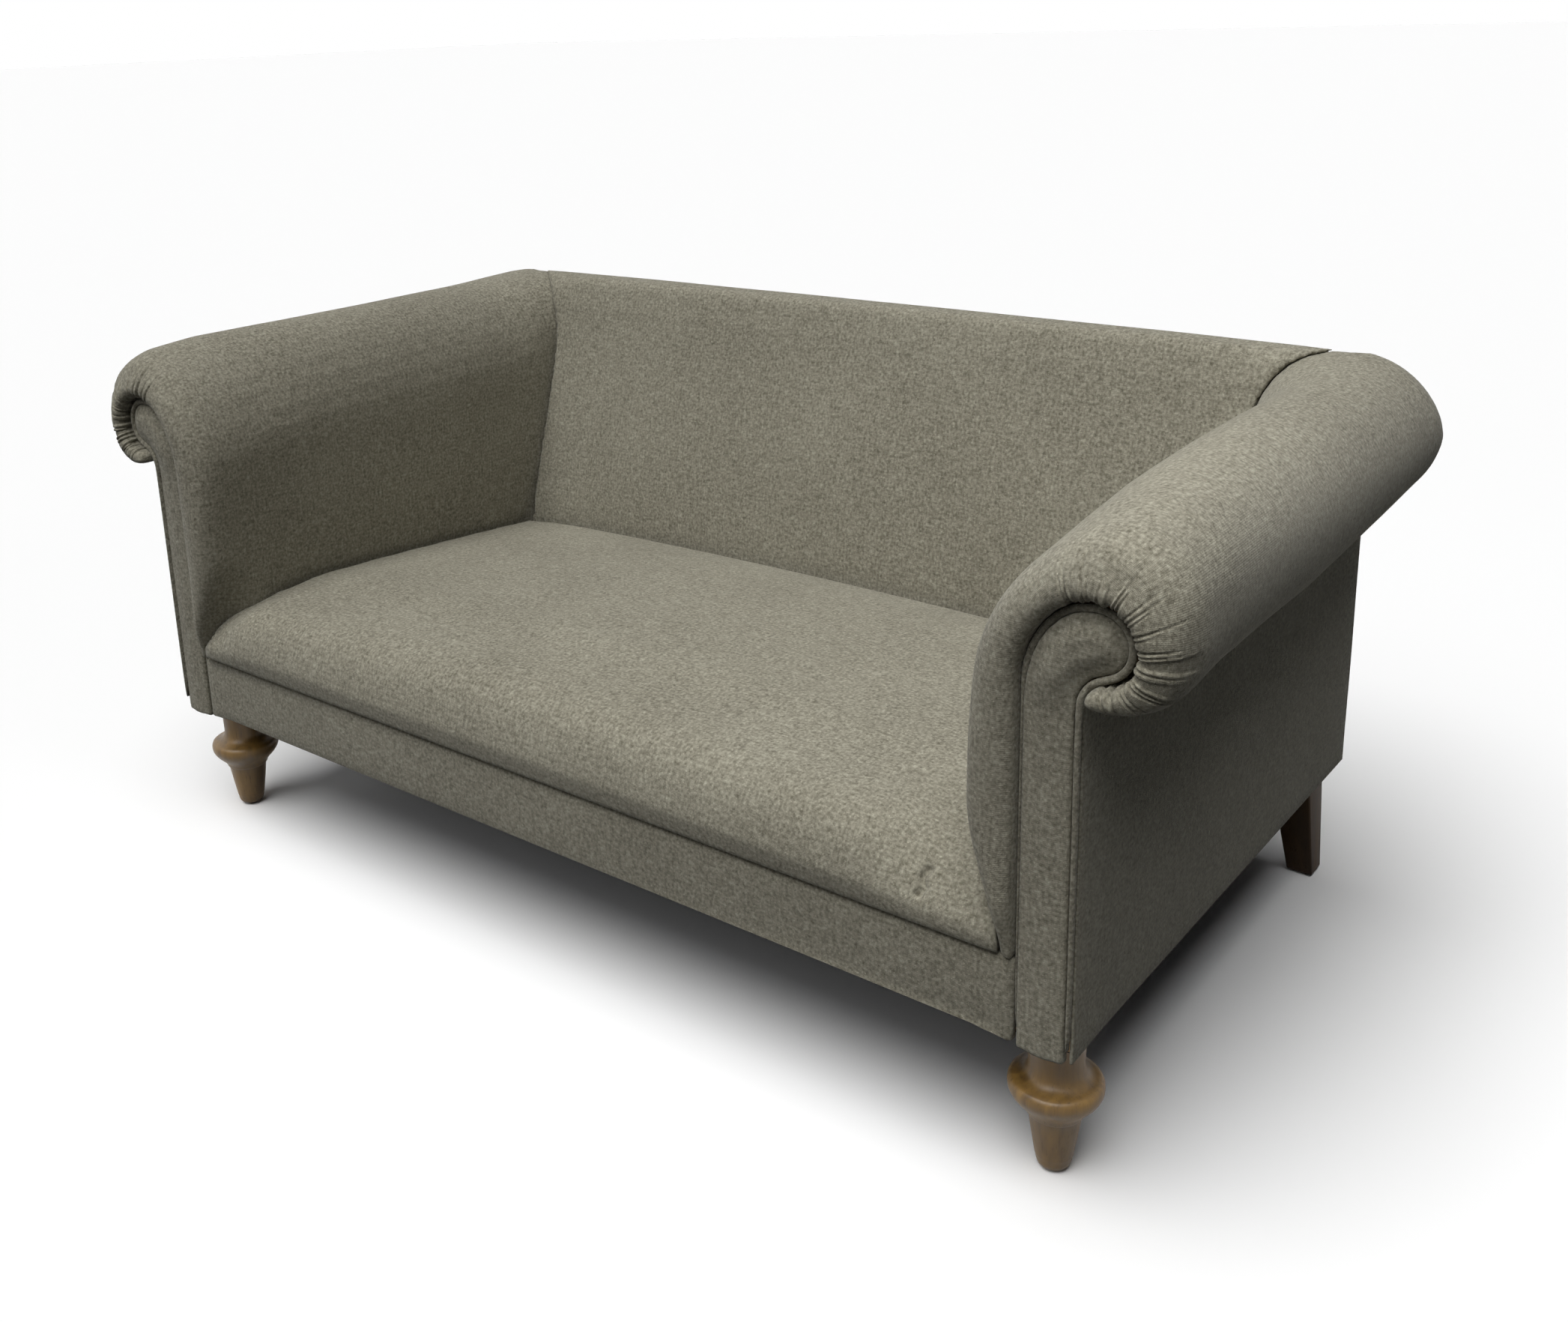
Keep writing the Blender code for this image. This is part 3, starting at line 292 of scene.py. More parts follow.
def timber(name, fibres, dark, light, rough, wax, gloss=0.5):
    """Wood whose fibres run along one axis of the object, 0 to 2."""
    material, shader, place = new_finish(name)
    squeeze = [1.0, 1.0, 1.0]
    squeeze[fibres] = FIBRE_DRAWN
    fibre = place.stretched(squeeze)
    figure = fibre.grain(FIGURE_SCALE, 3.0, 0.6)
    pores = ((fibre.grain(PORE_SCALE, 2.0) - PORE_ABOVE) * 6).clipped()
    streak = (figure - 0.5) * 1.5 + 0.5 + (fibre.grain(STREAK_SCALE, 2.0) - 0.5) * 0.5
    wood = streak.clipped().blended(paint(dark), paint(light))
    wood = (pores * 0.45).blended(wood, paint([c * 0.35 for c in dark]))
    plug(wood, shader, "Base Color")
    plug(rough + figure * 0.12 + pores * 0.15, shader, "Roughness")
    emboss(pores * -1.0 + figure * 0.4, shader, 0.25, 0.0006)
    plug(gloss, shader, "Specular IOR Level")
    plug(wax, shader, "Coat Weight")
    plug(0.3, shader, "Coat Roughness")
    return material


oak = timber("waxed_oak", 2, daylight(82, 59, 25), daylight(156, 121, 62), 0.38, 0.15)
# painted shade: the rear legs' oak is darkened to look as it does in the shadow under the sofa
oak_in_painted_shade = timber("oak_darkened_as_shade", 2, daylight(32, 22, 12), daylight(66, 48, 28), 0.55, 0.0, 0.2)
beech = [timber("beech_" + axis, i, daylight(168, 128, 88), daylight(214, 182, 140), 0.55, 0.0)
         for i, axis in enumerate("xyz")]
print("timber finishes:", oak.name, oak_in_painted_shade.name, [b.name for b in beech])

# %% [markdown]
# ## Straps, hessian and dust cloth
#
# Under the seat lie elastic straps, a jute hessian and a black dust cloth. They hide under the covers, but a
# part is looked at from below as well. All three are woven: two crossed waves make the threads, and noise
# makes the jute uneven and the felted dust cloth dull.

# %% Woven underside finishes
STRAP_THREAD, HESSIAN_THREAD, DUST_THREAD = 0.0030, 0.0024, 0.0012
STRAP_DARK, STRAP_LIGHT = daylight(22, 22, 24), daylight(58, 57, 56)


def webbing(name, thread, dark, light, fuzz, axes=(0, 1)):
    """A flat woven cloth in the plane of two axes of the object."""
    material, shader, place = new_finish(name)
    uneven = place.grain(220, 2.0)
    threads = place.threads(thread, axes)
    cloth = (threads * (1 - fuzz) + uneven * fuzz).clipped().blended(paint(dark), paint(light))
    plug(cloth, shader, "Base Color")
    emboss(threads + uneven * 0.5, shader, 0.5, thread * 0.3)
    plug(0.85 + uneven * 0.1, shader, "Roughness")
    return material


strap_cloth = webbing("elastic_strap", STRAP_THREAD, STRAP_DARK, STRAP_LIGHT, 0.3)
back_strap_cloth = webbing("elastic_strap_upright", STRAP_THREAD, STRAP_DARK, STRAP_LIGHT, 0.3, (0, 2))
hessian_cloth = webbing("jute_hessian", HESSIAN_THREAD, daylight(112, 84, 50), daylight(186, 152, 104), 0.4)
dust_cloth = webbing("black_dust_cloth", DUST_THREAD, daylight(16, 16, 17), daylight(40, 40, 42), 0.7)
print("underside finishes:", strap_cloth.name, hessian_cloth.name, dust_cloth.name)

# %% [markdown]
# ## Zinc and nylon
#
# Each foot hangs on a zinc-plated bolt and stands on a nylon glide. Plating is metal with a fine dull crystal
# pattern, and a moulded glide is satin with scuffs from the floor. Both are small, so a little noise is
# enough.

# %% Zinc and nylon finishes
def speckled(name, dark, light, scale, rough, metal):
    """A hard finish with a fine, uneven surface."""
    material, shader, place = new_finish(name)
    crystals = place.node("ShaderNodeTexVoronoi", None, {"Vector": place, "Scale": scale})
    scuffs = place.grain(scale * 0.4, 4.0)
    plug((crystals * 0.5 + scuffs * 0.5).clipped().blended(paint(dark), paint(light)), shader, "Base Color")
    plug(rough + scuffs * 0.2, shader, "Roughness")
    plug(metal, shader, "Metallic")
    emboss(scuffs, shader, 0.15, 0.0002)
    return material


zinc_steel = speckled("zinc_plate", daylight(140, 142, 144), daylight(196, 198, 200), 900, 0.28, 1.0)
nylon = speckled("nylon_glide", daylight(38, 37, 36), daylight(64, 62, 60), 700, 0.45, 0.0)
print("hard finishes:", zinc_steel.name, nylon.name)

# %% [markdown]
# ## Handling a mesh
#
# A solid arrives as loose triangles, so a copy is merged before it is worked on. Points are read and written
# all at once as arrays, which is quick. Modifiers are applied as soon as they have done their work, so that
# what is measured is what shows.

# %% Mesh helpers
MERGED_WITHIN = 1e-5


def merged(node):
    """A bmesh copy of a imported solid, with its triangles joined at their corners."""
    bm = bmesh.new()
    bm.from_mesh(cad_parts[node].data)
    bmesh.ops.remove_doubles(bm, verts=bm.verts, dist=MERGED_WITHIN)
    return bm


def placed(bm, name):
    """A new object at the origin that takes over a bmesh."""
    mesh = bpy.data.meshes.new(name)
    bm.to_mesh(mesh)
    bm.free()
    return added(name, mesh)


def settled(piece):
    """Apply a piece's modifiers to its mesh."""
    graph = bpy.context.evaluated_depsgraph_get()
    shown = piece.evaluated_get(graph)
    mesh = bpy.data.meshes.new_from_object(shown, preserve_all_data_layers=True, depsgraph=graph)
    piece.modifiers.clear()
    piece.data = mesh
    return piece


def points(piece, what="co"):
    """A piece's points, or their normals, as an array."""
    flat = np.empty(len(piece.data.vertices) * 3, np.float32)
    piece.data.vertices.foreach_get(what, flat)
    return flat.reshape(-1, 3).astype(float)


def divided(bm, near):
    """Cut the edges between some points of a mesh in two."""
    edges = [e for e in bm.edges if near.issuperset(e.verts)]
    bmesh.ops.subdivide_edges(bm, edges=edges, cuts=1, use_grid_fill=True)


def put(piece, spots):
    """Move a piece's points to new spots."""
    piece.data.vertices.foreach_set("co", spots.astype(np.float32).ravel())
    piece.data.update()


def dressed(piece, finish, node):
    """Give a finished piece its finish, and hide the solid it stands for."""
    piece.data.materials.clear()
    piece.data.materials.append(finish)
    piece.data.shade_smooth()
    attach(piece, "root")
    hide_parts(node)
    print(piece.name, "has", sum(len(f.vertices) - 2 for f in piece.data.polygons), "triangles")
    return piece


def upholstered(piece, node, fill, along, across, slot="wool_cloth", cloth=wool_cloth):
    """Dress a padded piece in tweed, and store for the yarns where each point lies in the cloth."""
    places = np.zeros((len(along), 3), np.float32)
    places[:, 0] = along
    places[:, 1] = across
    piece.data.attributes.new("weave", "FLOAT_VECTOR", "POINT").data.foreach_set("vector", places.ravel())
    dressed(piece, cloth, node)


print("a merged seat has", len(merged("seat_pad").verts), "points")

# %% [markdown]
# ## Stuffing a pad
#
# A pad is a cover that its filling pushes outwards, so it is made the same way: the solid is meshed evenly,
# eased and drawn in a little, and the cloth solver then blows it up. Where a pad rests against the frame or
# another pad it is held, which keeps neighbours clear of each other. A cap on the way each point may go keeps
# the size, and the swelling is calmed so that no band shows where the held part ends. What a solver can't
# know is added by moving points: a pad that rounds into its seams, and a corner that is stuffed squarer than
# its solid.

# %% Stuffed pads
VOXEL = 0.006
HELD_WITHIN = 0.003
EASED_BEYOND = 0.012
FILLED_BEYOND = 0.070
EASE_STEPS = 10
DRAWN_IN = 0.0015
FILL_STEPS = 12
FILL_QUALITY = 3
PRESSURE = 4.0
FILL_CAP = 0.003
CALM_STEPS = 300
CALM_SHARE = 0.5
EASE_FACTORS = (0.5, -0.53)
LEAST_EASE = 0.2
WEIGHT_STEPS = 20
SEAM_GAP = 0.0012
CLOSED_WITHIN = (0.006, 0.011)


def finder(names):
    """Some solids or finished pieces in one tree that can be asked for their nearest point."""
    corners, faces = [], []
    for name in names:
        mesh = (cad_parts.get(name) or bpy.data.objects[name]).data
        first = len(corners)
        corners.extend(v.co for v in mesh.vertices)
        faces.extend([i + first for i in f.vertices] for f in mesh.polygons)
    return BVHTree.FromPolygons(corners, faces)


def nearest(tree, spots):
    """For each point, the nearest spot of a tree and the way to it."""
    found = [tree.find_nearest(Vector(p)) for p in spots]
    return np.array([f[0] for f in found]), np.array([f[3] for f in found])


def clearance(piece, own):
    """How far each point of a pad is from every other solid."""
    return nearest(finder([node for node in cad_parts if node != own]), points(piece))[1]


def weighted(piece, name, weights):
    """A vertex group that holds one weight for each point, in steps of a twentieth."""
    group = piece.vertex_groups.new(name=name)
    steps = np.rint(weights * WEIGHT_STEPS).astype(int)
    for step in np.unique(steps):
        group.add(np.flatnonzero(steps == step).tolist(), step / WEIGHT_STEPS, "REPLACE")


def risen(room, start, end):
    """A soft step from 0 to 1 as the room grows."""
    share = np.clip((room - start) / (end - start), 0, 1)
    return share * share * (3 - 2 * share)


def averager(piece):
    """A function that takes a vector for each point, and gives the mean of its neighbours' vectors."""
    ends = np.empty(len(piece.data.edges) * 2, np.int32)
    piece.data.edges.foreach_get("vertices", ends)
    first, second = ends.reshape(-1, 2).T
    size = len(piece.data.vertices)
    count = np.bincount(ends, minlength=size)

    def mean(vectors):
        sums = [np.bincount(first, v[second], size) + np.bincount(second, v[first], size) for v in vectors.T]
        return (np.array(sums) / count).T

    return mean


def eased(piece, steps, share):
    """Smooth each point by its share, and give back in turn the size that smoothing takes."""
    mean = averager(piece)
    spots = points(piece)
    for factor in EASE_FACTORS * steps:
        spots += factor * share[:, None] * (mean(spots) - spots)
    put(piece, spots)


def evened(name, node, voxel=VOXEL, ease=EASE_STEPS):
    """A pad's solid with an even mesh, eased where nothing touches it."""
    piece = placed(merged(node), name)
    remesh = piece.modifiers.new("even", "REMESH")
    remesh.mode = "VOXEL"
    remesh.voxel_size = voxel
    settled(piece)
    room = clearance(piece, node)
    free = risen(room, HELD_WITHIN, FILLED_BEYOND)
    weighted(piece, "held", 1 - free)
    eased(piece, ease, np.maximum(risen(room, HELD_WITHIN, EASED_BEYOND), LEAST_EASE))
    spots = points(piece)
    own = finder([node])
    for i in np.flatnonzero(room < EASED_BEYOND):
        kept = np.array(own.find_nearest(Vector(spots[i]))[0])
        spots[i] += (kept - spots[i]) * (1 - risen(room[i], HELD_WITHIN, EASED_BEYOND))
    put(piece, spots)
    return piece, free


def filled(piece, free):
    """Draw a cover in, then blow it up like a stuffed pad, no point further than the cap."""
    solid = points(piece)
    start = solid - points(piece, "normal") * (free * DRAWN_IN)[:, None]
    put(piece, start)
    cloth = piece.modifiers.new("filling", "CLOTH")
    cloth.settings.quality = FILL_QUALITY
    cloth.settings.use_pressure = True
    cloth.settings.uniform_pressure_force = PRESSURE
    cloth.settings.effector_weights.gravity = 0
    cloth.settings.vertex_group_mass = "held"
    cloth.collision_settings.use_collision = False
    cloth.point_cache.frame_end = FILL_STEPS
    for step in range(1, FILL_STEPS + 1):
        scene.frame_set(step)
    settled(piece)
    scene.frame_set(1)
    way = points(piece) - start
    length = np.maximum(np.linalg.norm(way, axis=1), 1e-9)
    way = start + way * np.minimum(1, FILL_CAP / length)[:, None] - solid
    mean = averager(piece)
    for step in range(CALM_STEPS):
        way += CALM_SHARE * (free > 0)[:, None] * (mean(way) - way)
    put(piece, solid + way)
    print(piece.name, "swelled by", round(float(np.linalg.norm(way, axis=1).max()) * 1000, 1), "mm at most")


def closed_up(spots, where, nodes):
    """Draw the rounded edge of a pad up to the pads beside it."""
    tree = finder(nodes)
    for i in np.flatnonzero(where):
        near, _, _, way = tree.find_nearest(Vector(spots[i]))
        if way > SEAM_GAP:
            spots[i] += (np.array(near) - spots[i]) * (1 - SEAM_GAP / way) * (1 - risen(way, *CLOSED_WITHIN))
    return spots


def tucked(piece, beside, depth, reach, share=1.0):
    """Let a pad round into its seam with the pads beside it."""
    tree = finder(beside)
    way = np.array([tree.find_nearest(Vector(p), reach)[3] or reach for p in points(piece)])
    return -points(piece, "normal") * (share * depth * (1 - way / reach) ** 2)[:, None]


def squared(across, up, before, after):
    """Make a corner squarer: from one curve across**a + up**b = 1 to another, along rays from its middle."""
    turn = np.arctan2(up, across)
    steps = np.linspace(0, math.pi / 2, 200)

    def radius(powers):
        u, v = np.cos(steps) ** (2 / powers[0]), np.sin(steps) ** (2 / powers[1])
        return np.interp(turn, np.arctan2(v, u), np.hypot(u, v))

    grown = radius(after) / radius(before)
    return across * grown, up * grown


def uneven(spots, size, depth, seed):
    """Small hand-stuffed unevenness, as a depth for each point."""
    return np.array([noise.noise(Vector(p) / size + Vector((seed, 0, 0))) for p in spots]) * depth


print("pads are meshed every", VOXEL * 1000, "mm and filled in", FILL_STEPS, "steps")

# %% [markdown]
# ## The seat
#
# The seat is one tight, crowned pad that rolls over its front edge into a seam with the border. It could be a
# subdivided box, but the filled copy of its solid has the right crown already. It is then stuffed fuller
# where the picture shows it: the nose stands nearly upright and fades near the right arm, the rear line is
# crowned, and the front corners bulge over the feet of the arms. One small crease sits near the right arm.

# %% Seat pad
NOSE_DEPTH = 0.234
NOSE_SOLID, NOSE_FULL = (2.6, 2.0), (8.0, 3.3)
NOSE_LEFT, NOSE_RIGHT = (-0.67, -0.61), (0.53, 0.625)
NOSE_LEAST, NOSE_GAIN, NOSE_LOSS = 0.3, 0.7, 0.85
REAR_RISE, REAR_FADE = 0.013, 0.04
TOP_COLUMNS = 60
SEAT_WAVE = (0.16, 0.0016, 3)
CORNER_SPREAD, CORNER_REACH = 0.044, 0.10
CORNER_HEIGHTS, CORNER_DEPTHS = (0.290, 0.470), (-0.425, -0.345)
CORNER_FRONT, CORNER_SIDE = 0.12, 0.6
CREASE = (
    (0.6065, -0.4090, 0.3525), (0.6030, -0.4195, 0.3448), (0.6062, -0.4265, 0.3380), (0.6035, -0.4330, 0.3300),
)
CREASE_DEPTH, CREASE_WIDTH = 0.0080, 0.0024
CREASE_FINE = (0.020, 0.012)
WELT_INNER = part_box("facing_welt_right")[0].x


def seat_form(spots, tops):
    """Give the seat its full, nearly upright nose, and crown its line along the back."""
    low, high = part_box("seat_pad")
    peak = low.y + NOSE_DEPTH
    x, y, z = spots.T
    height = np.interp(x, *tops) - low.z
    across, up = squared((peak - y) / NOSE_DEPTH, (z - low.z) / height, NOSE_SOLID, NOSE_FULL)
    full = np.stack((x, peak - across * NOSE_DEPTH, low.z + up * height), axis=1)
    share = (NOSE_LEAST + NOSE_GAIN * risen(x, *NOSE_LEFT)) * (1 - NOSE_LOSS * risen(x, *NOSE_RIGHT))
    spots = spots + (full - spots) * share[:, None]
    crown = np.clip(1 - (x / high.x) ** 2, 0, 1) * risen(spots[:, 1], peak, high.y)
    spots[:, 2] += REAR_RISE * crown * risen(spots[:, 2], low.z, low.z + REAR_FADE)
    return spots


def corner_spread(spots):
    """Let the seat's front corners bulge over the feet of the arms' rims, which give way to them."""
    x, y, z = spots.T
    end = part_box("seat_pad")[1].x
    spread = CORNER_SPREAD * (1 - risen(z, *CORNER_HEIGHTS)) * (1 - risen(y, *CORNER_DEPTHS))
    share = np.interp(np.abs(x), (end - CORNER_REACH, end, WELT_INNER), (0, 1, 0))
    moved = spots.copy()
    moved[:, 0] += np.sign(x) * spread * share
    return moved


def way_to_line(spots, line):
    """Each point's distance from a line of straight stretches."""
    way = np.full(len(spots), np.inf)
    for start, end in zip(np.array(line), np.array(line)[1:]):
        share = np.clip((spots - start) @ (end - start) / ((end - start) @ (end - start)), 0, 1)
        way = np.minimum(way, np.linalg.norm(spots - start - share[:, None] * (end - start), axis=1))
    return way


seat, free = evened("seat_cover", "seat_pad", ease=20)
filled(seat, free)
spots = points(seat)
columns = np.linspace(spots[:, 0].min(), spots[:, 0].max(), TOP_COLUMNS)
width = columns[1] - columns[0]
tops = columns, [spots[np.abs(spots[:, 0] - x) < width, 2].max() for x in columns]
put(seat, seat_form(spots, tops))
spots = points(seat)
lift = uneven(spots, *SEAT_WAVE) * free
put(seat, spots + points(seat, "normal") * lift[:, None])
crease, _ = nearest(finder(["seat_cover"]), seat_form(np.array(CREASE), tops))

bm = bmesh.new()
bm.from_mesh(seat.data)
for reach in CREASE_FINE:
    divided(bm, {v for v in bm.verts if way_to_line(np.array([v.co]), crease)[0] < reach})
bm.to_mesh(seat.data)
bm.free()
spots = points(seat)
press = CREASE_DEPTH * np.exp(-0.5 * (way_to_line(spots, crease) / CREASE_WIDTH) ** 2)
put(seat, spots - points(seat, "normal") * press[:, None])
spots = points(seat)
corners = (spots[:, 1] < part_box("front_border")[0].y + CORNER_FRONT) & (np.abs(spots[:, 0]) > CORNER_SIDE)
spots = corner_spread(closed_up(spots, corners, ["arm_pad_left", "arm_pad_right"]))
put(seat, spots)
upholstered(seat, "seat_pad", 0.8, spots[:, 0], spots[:, 1] + spots[:, 2])

# %% [markdown]
# ## The inside back
#
# The back is as tight as the seat: a tall pad with a firm top edge, sewn to the arms along a mitre at each
# corner. Its ends are held where they meet the arms, and only its face and top are filled. The top edge could
# be left as round as its solid, but the picture shows it squarer. The pad rounds a little into its seams with
# seat and arms.

# %% Back pad
HEAD_ROUND, HEAD_FACE, HEAD_LEAN = 0.055, 0.3578, 0.36
HEAD_SOLID, HEAD_FULL = (2.0, 2.0), (7.0, 7.0)
HEAD_ENDS = (0.62, 0.72)
FOOT_TUCK, ARM_TUCK, MITRE_TUCK = (0.006, 0.06), (0.007, 0.16), (0.003, 0.07)
SEAM_TUCK = (0.002, 0.014)
MITRE_ENDS = (0.66, 0.75)
BACK_WAVE = (0.20, 0.0016, 9)


def back_form(spots):
    """Carry the back's face straight up to a firm top edge."""
    middle = HEAD_FACE + HEAD_ROUND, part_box("back_pad")[1].z - HEAD_ROUND
    across, up = (middle[0] - spots[:, 1]) / HEAD_ROUND, (spots[:, 2] - middle[1]) / HEAD_ROUND
    across, up = squared(across, up, HEAD_SOLID, HEAD_FULL)
    z = middle[1] + up * HEAD_ROUND
    y = middle[0] - across * HEAD_ROUND + np.maximum(across, 0) * HEAD_LEAN * np.maximum(z - middle[1], 0)
    share = 1 - risen(np.abs(spots[:, 0]), *HEAD_ENDS)
    return spots + (np.stack((spots[:, 0], y, z), axis=1) - spots) * share[:, None]


back, free = evened("back_cover", "back_pad", ease=30)
filled(back, free)
put(back, back_form(points(back)))
spots = points(back)
lift = uneven(spots, *BACK_WAVE) * free
spots += points(back, "normal") * lift[:, None]
spots += tucked(back, ["seat_cover"], *FOOT_TUCK) + tucked(back, ["seat_cover"], *SEAM_TUCK)
spots += tucked(back, ["arm_pad_left", "arm_pad_right"], *MITRE_TUCK, 1 - risen(spots[:, 2], *MITRE_ENDS))
put(back, spots)
upholstered(back, "back_pad", 0.8, spots[:, 0], spots[:, 1] + spots[:, 2])

# %% [markdown]
# ## The scroll arms and their gathers
#
# The cover of an arm runs from the seat up over the roll to its underside. The roll's end is domed like a
# full cushion, and the rim beside the facing is rounded and runs down to the border. Round the head of the
# facing the cover is drawn in, and the spare cloth goes into 27 gathers that fan out from the welt. They
# could be painted into a bump map, but real creases catch the light from every side, so the mesh is divided
# more finely round the scroll and each crease is pressed into it with its own place, length and depth.

# %% Arms
ROLL_CENTRE = (0.796, 0.689)
ROLL_RADIUS = 0.108
WELT_OUTER_RADIUS = 0.041
GATHERS = 27
GATHER_FROM, GATHER_TO = math.radians(128), math.radians(-74)
GATHER_LENGTH = (0.028, 0.066)
GATHER_DEPTH = (0.0030, 0.0068)
GATHER_SHIFT, GATHER_LEAN, GATHER_FADE = 0.3, 1.2, 0.7
GATHER_WIDTH = (0.0009, 0.0012)
GATHER_MOST = 0.0060
PUFF_HEIGHT, PUFF_WIDTH = 0.0012, 0.006
CLOSE_ROUND, CLOSE_BEHIND = 0.2, 0.1
VALLEY_DEPTH, VALLEY_WIDTH, VALLEY_ENDS = 0.0015, 0.010, (0.3, 0.6)
ARM_WAVE = (0.18, 0.0016)
RIM_FOOT, RIM_FOOT_SHARE, RIM_PROUD = 0.070, 0.8, 0.003
RIM_EASE = 50
RIM_LIP, LIP_WAYS = 0.0020, (0.004, 0.016)
RIM_INNER, RIM_DEPTH, RIM_FADE, RIM_WAYS = 0.03, 0.11, 0.04, (0.006, 0.02)
INNER_FROM, INNER_TURNS = 0.02, (math.radians(95), math.radians(160))
POST_BELOW = (0.03, 0.09)
TUCK_STARTS = (-0.40, -0.25)
DOME_BACK, DOME_WIDTH, DOME_REACH, DOME_BELOW = 0.024, 0.060, 0.13, 0.16
RING_PROUD, RING_WAY, RING_WIDTH = 0.004, 0.020, 0.016
FINE_REACH = (0.075, 0.055, 0.038)
FINE_BELOW = 0.10
FINE_TURNS, FINE_SMOOTH = 2, 0.4


def scroll_head(side):
    """The middle of a facing's round head, at its front."""
    low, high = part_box("facing_welt_" + side)
    x = high.x - WELT_OUTER_RADIUS if side == "right" else low.x + WELT_OUTER_RADIUS
    return Vector((x, low.y, high.z - WELT_OUTER_RADIUS))


def from_welt(spots, head, side, tree):
    """The welt's place nearest to each point: its angle and radius round the head, and the way to it."""
    near, way = nearest(tree, spots)
    outwards = (near[:, 0] - head.x) * SIDES[side]
    up = near[:, 2] - head.z
    return np.arctan2(up, outwards), np.hypot(outwards, up), way


def near_welt(bm, head, tree, reach):
    """The points round a scroll that lie within reach of its welt."""
    above = [v for v in bm.verts if v.co.z > head.z - FINE_BELOW]
    return [v for v in above if tree.find_nearest(v.co, reach)[3] is not None]


def finer(piece, head, tree):
    """Divide the mesh round the scroll, finer and finer towards the welt."""
    bm = bmesh.new()
    bm.from_mesh(piece.data)
    for reach in FINE_REACH:
        divided(bm, set(near_welt(bm, head, tree, reach)))
        inside = near_welt(bm, head, tree, reach)
        for turn in range(FINE_TURNS):
            bmesh.ops.smooth_vert(bm, verts=inside, factor=FINE_SMOOTH,
                                  use_axis_x=True, use_axis_y=True, use_axis_z=True)
    bm.to_mesh(piece.data)
    bm.free()


def gathered(piece, head, side, tree, seed):
    """Press the gathers into an arm's front."""
    dice = np.random.default_rng(seed)
    pitch = (GATHER_FROM - GATHER_TO) / (GATHERS - 1)
    spots = points(piece)
    from_head = np.hypot(spots[:, 0] - head.x, spots[:, 2] - head.z)
    close = np.flatnonzero((from_head < CLOSE_ROUND) & (spots[:, 1] < head.y + CLOSE_BEHIND))
    angle, radius, way = from_welt(spots[close], head, side, tree)
    press = np.zeros(len(close))
    puff = np.zeros(len(close))
    for i in range(GATHERS):
        middle = GATHER_FROM - i * pitch + dice.uniform(-GATHER_SHIFT, GATHER_SHIFT) * pitch
        length = dice.uniform(*GATHER_LENGTH)
        depth = dice.uniform(*GATHER_DEPTH)
        lean = dice.uniform(-GATHER_LEAN, GATHER_LEAN)
        aside = (np.mod(angle - middle - lean * way + math.pi, 2 * math.pi) - math.pi) * (radius + way)
        fade = np.clip(1 - way / length, 0, 1) ** GATHER_FADE
        width = GATHER_WIDTH[0] + GATHER_WIDTH[1] * fade
        press += depth * fade * np.exp(-0.5 * (aside / width) ** 2)
        puff = np.maximum(puff, fade * np.exp(-0.5 * (aside / PUFF_WIDTH) ** 2))
    last, first = VALLEY_ENDS
    drawn = np.clip((angle - GATHER_TO) / last, 0, 1) * np.clip((GATHER_FROM + first - angle) / first, 0, 1)
    valley = VALLEY_DEPTH * drawn * np.exp(-way / VALLEY_WIDTH)
    rise = puff * PUFF_HEIGHT - np.minimum(press, GATHER_MOST) - valley
    spots[close] += points(piece, "normal")[close] * rise[:, None]
    put(piece, spots)


def inner_run(spots, head, side):
    """1 along the straight inner run of a facing's edge, 0 from the top of its head onwards."""
    inwards = (head.x - spots[:, 0]) * SIDES[side]
    up = spots[:, 2] - head.z
    turn = np.where(up < 0, math.pi * (inwards > INNER_FROM), np.arctan2(up, -inwards))
    return risen(turn, *INNER_TURNS)


def post_run(spots, head):
    """1 along the straight post of a facing, 0 from its curved shoulder onwards."""
    return risen(head.z - spots[:, 2], *POST_BELOW)


def domed(piece, head, tree):
    """Round the roll's end: its outer edge goes back, and the ring beside the welt stands proud."""
    spots = points(piece)
    near = np.flatnonzero((spots[:, 1] < head.y + DOME_REACH) & (spots[:, 2] > head.z - DOME_BELOW))
    found, _ = nearest(tree, spots[near])
    way = np.hypot(*(spots[near] - found)[:, [0, 2]].T)
    share = 1 - risen(spots[near, 1], head.y, head.y + DOME_REACH)
    share *= risen(spots[near, 2], head.z - DOME_BELOW, head.z)
    back = np.clip((way - RING_WAY / 2) / DOME_WIDTH, 0, 1) ** 1.5
    ring = np.exp(-(((way - RING_WAY) / RING_WIDTH) ** 2))
    spots[near, 1] += share * (DOME_BACK * back - RING_PROUD * ring)
    put(piece, spots)


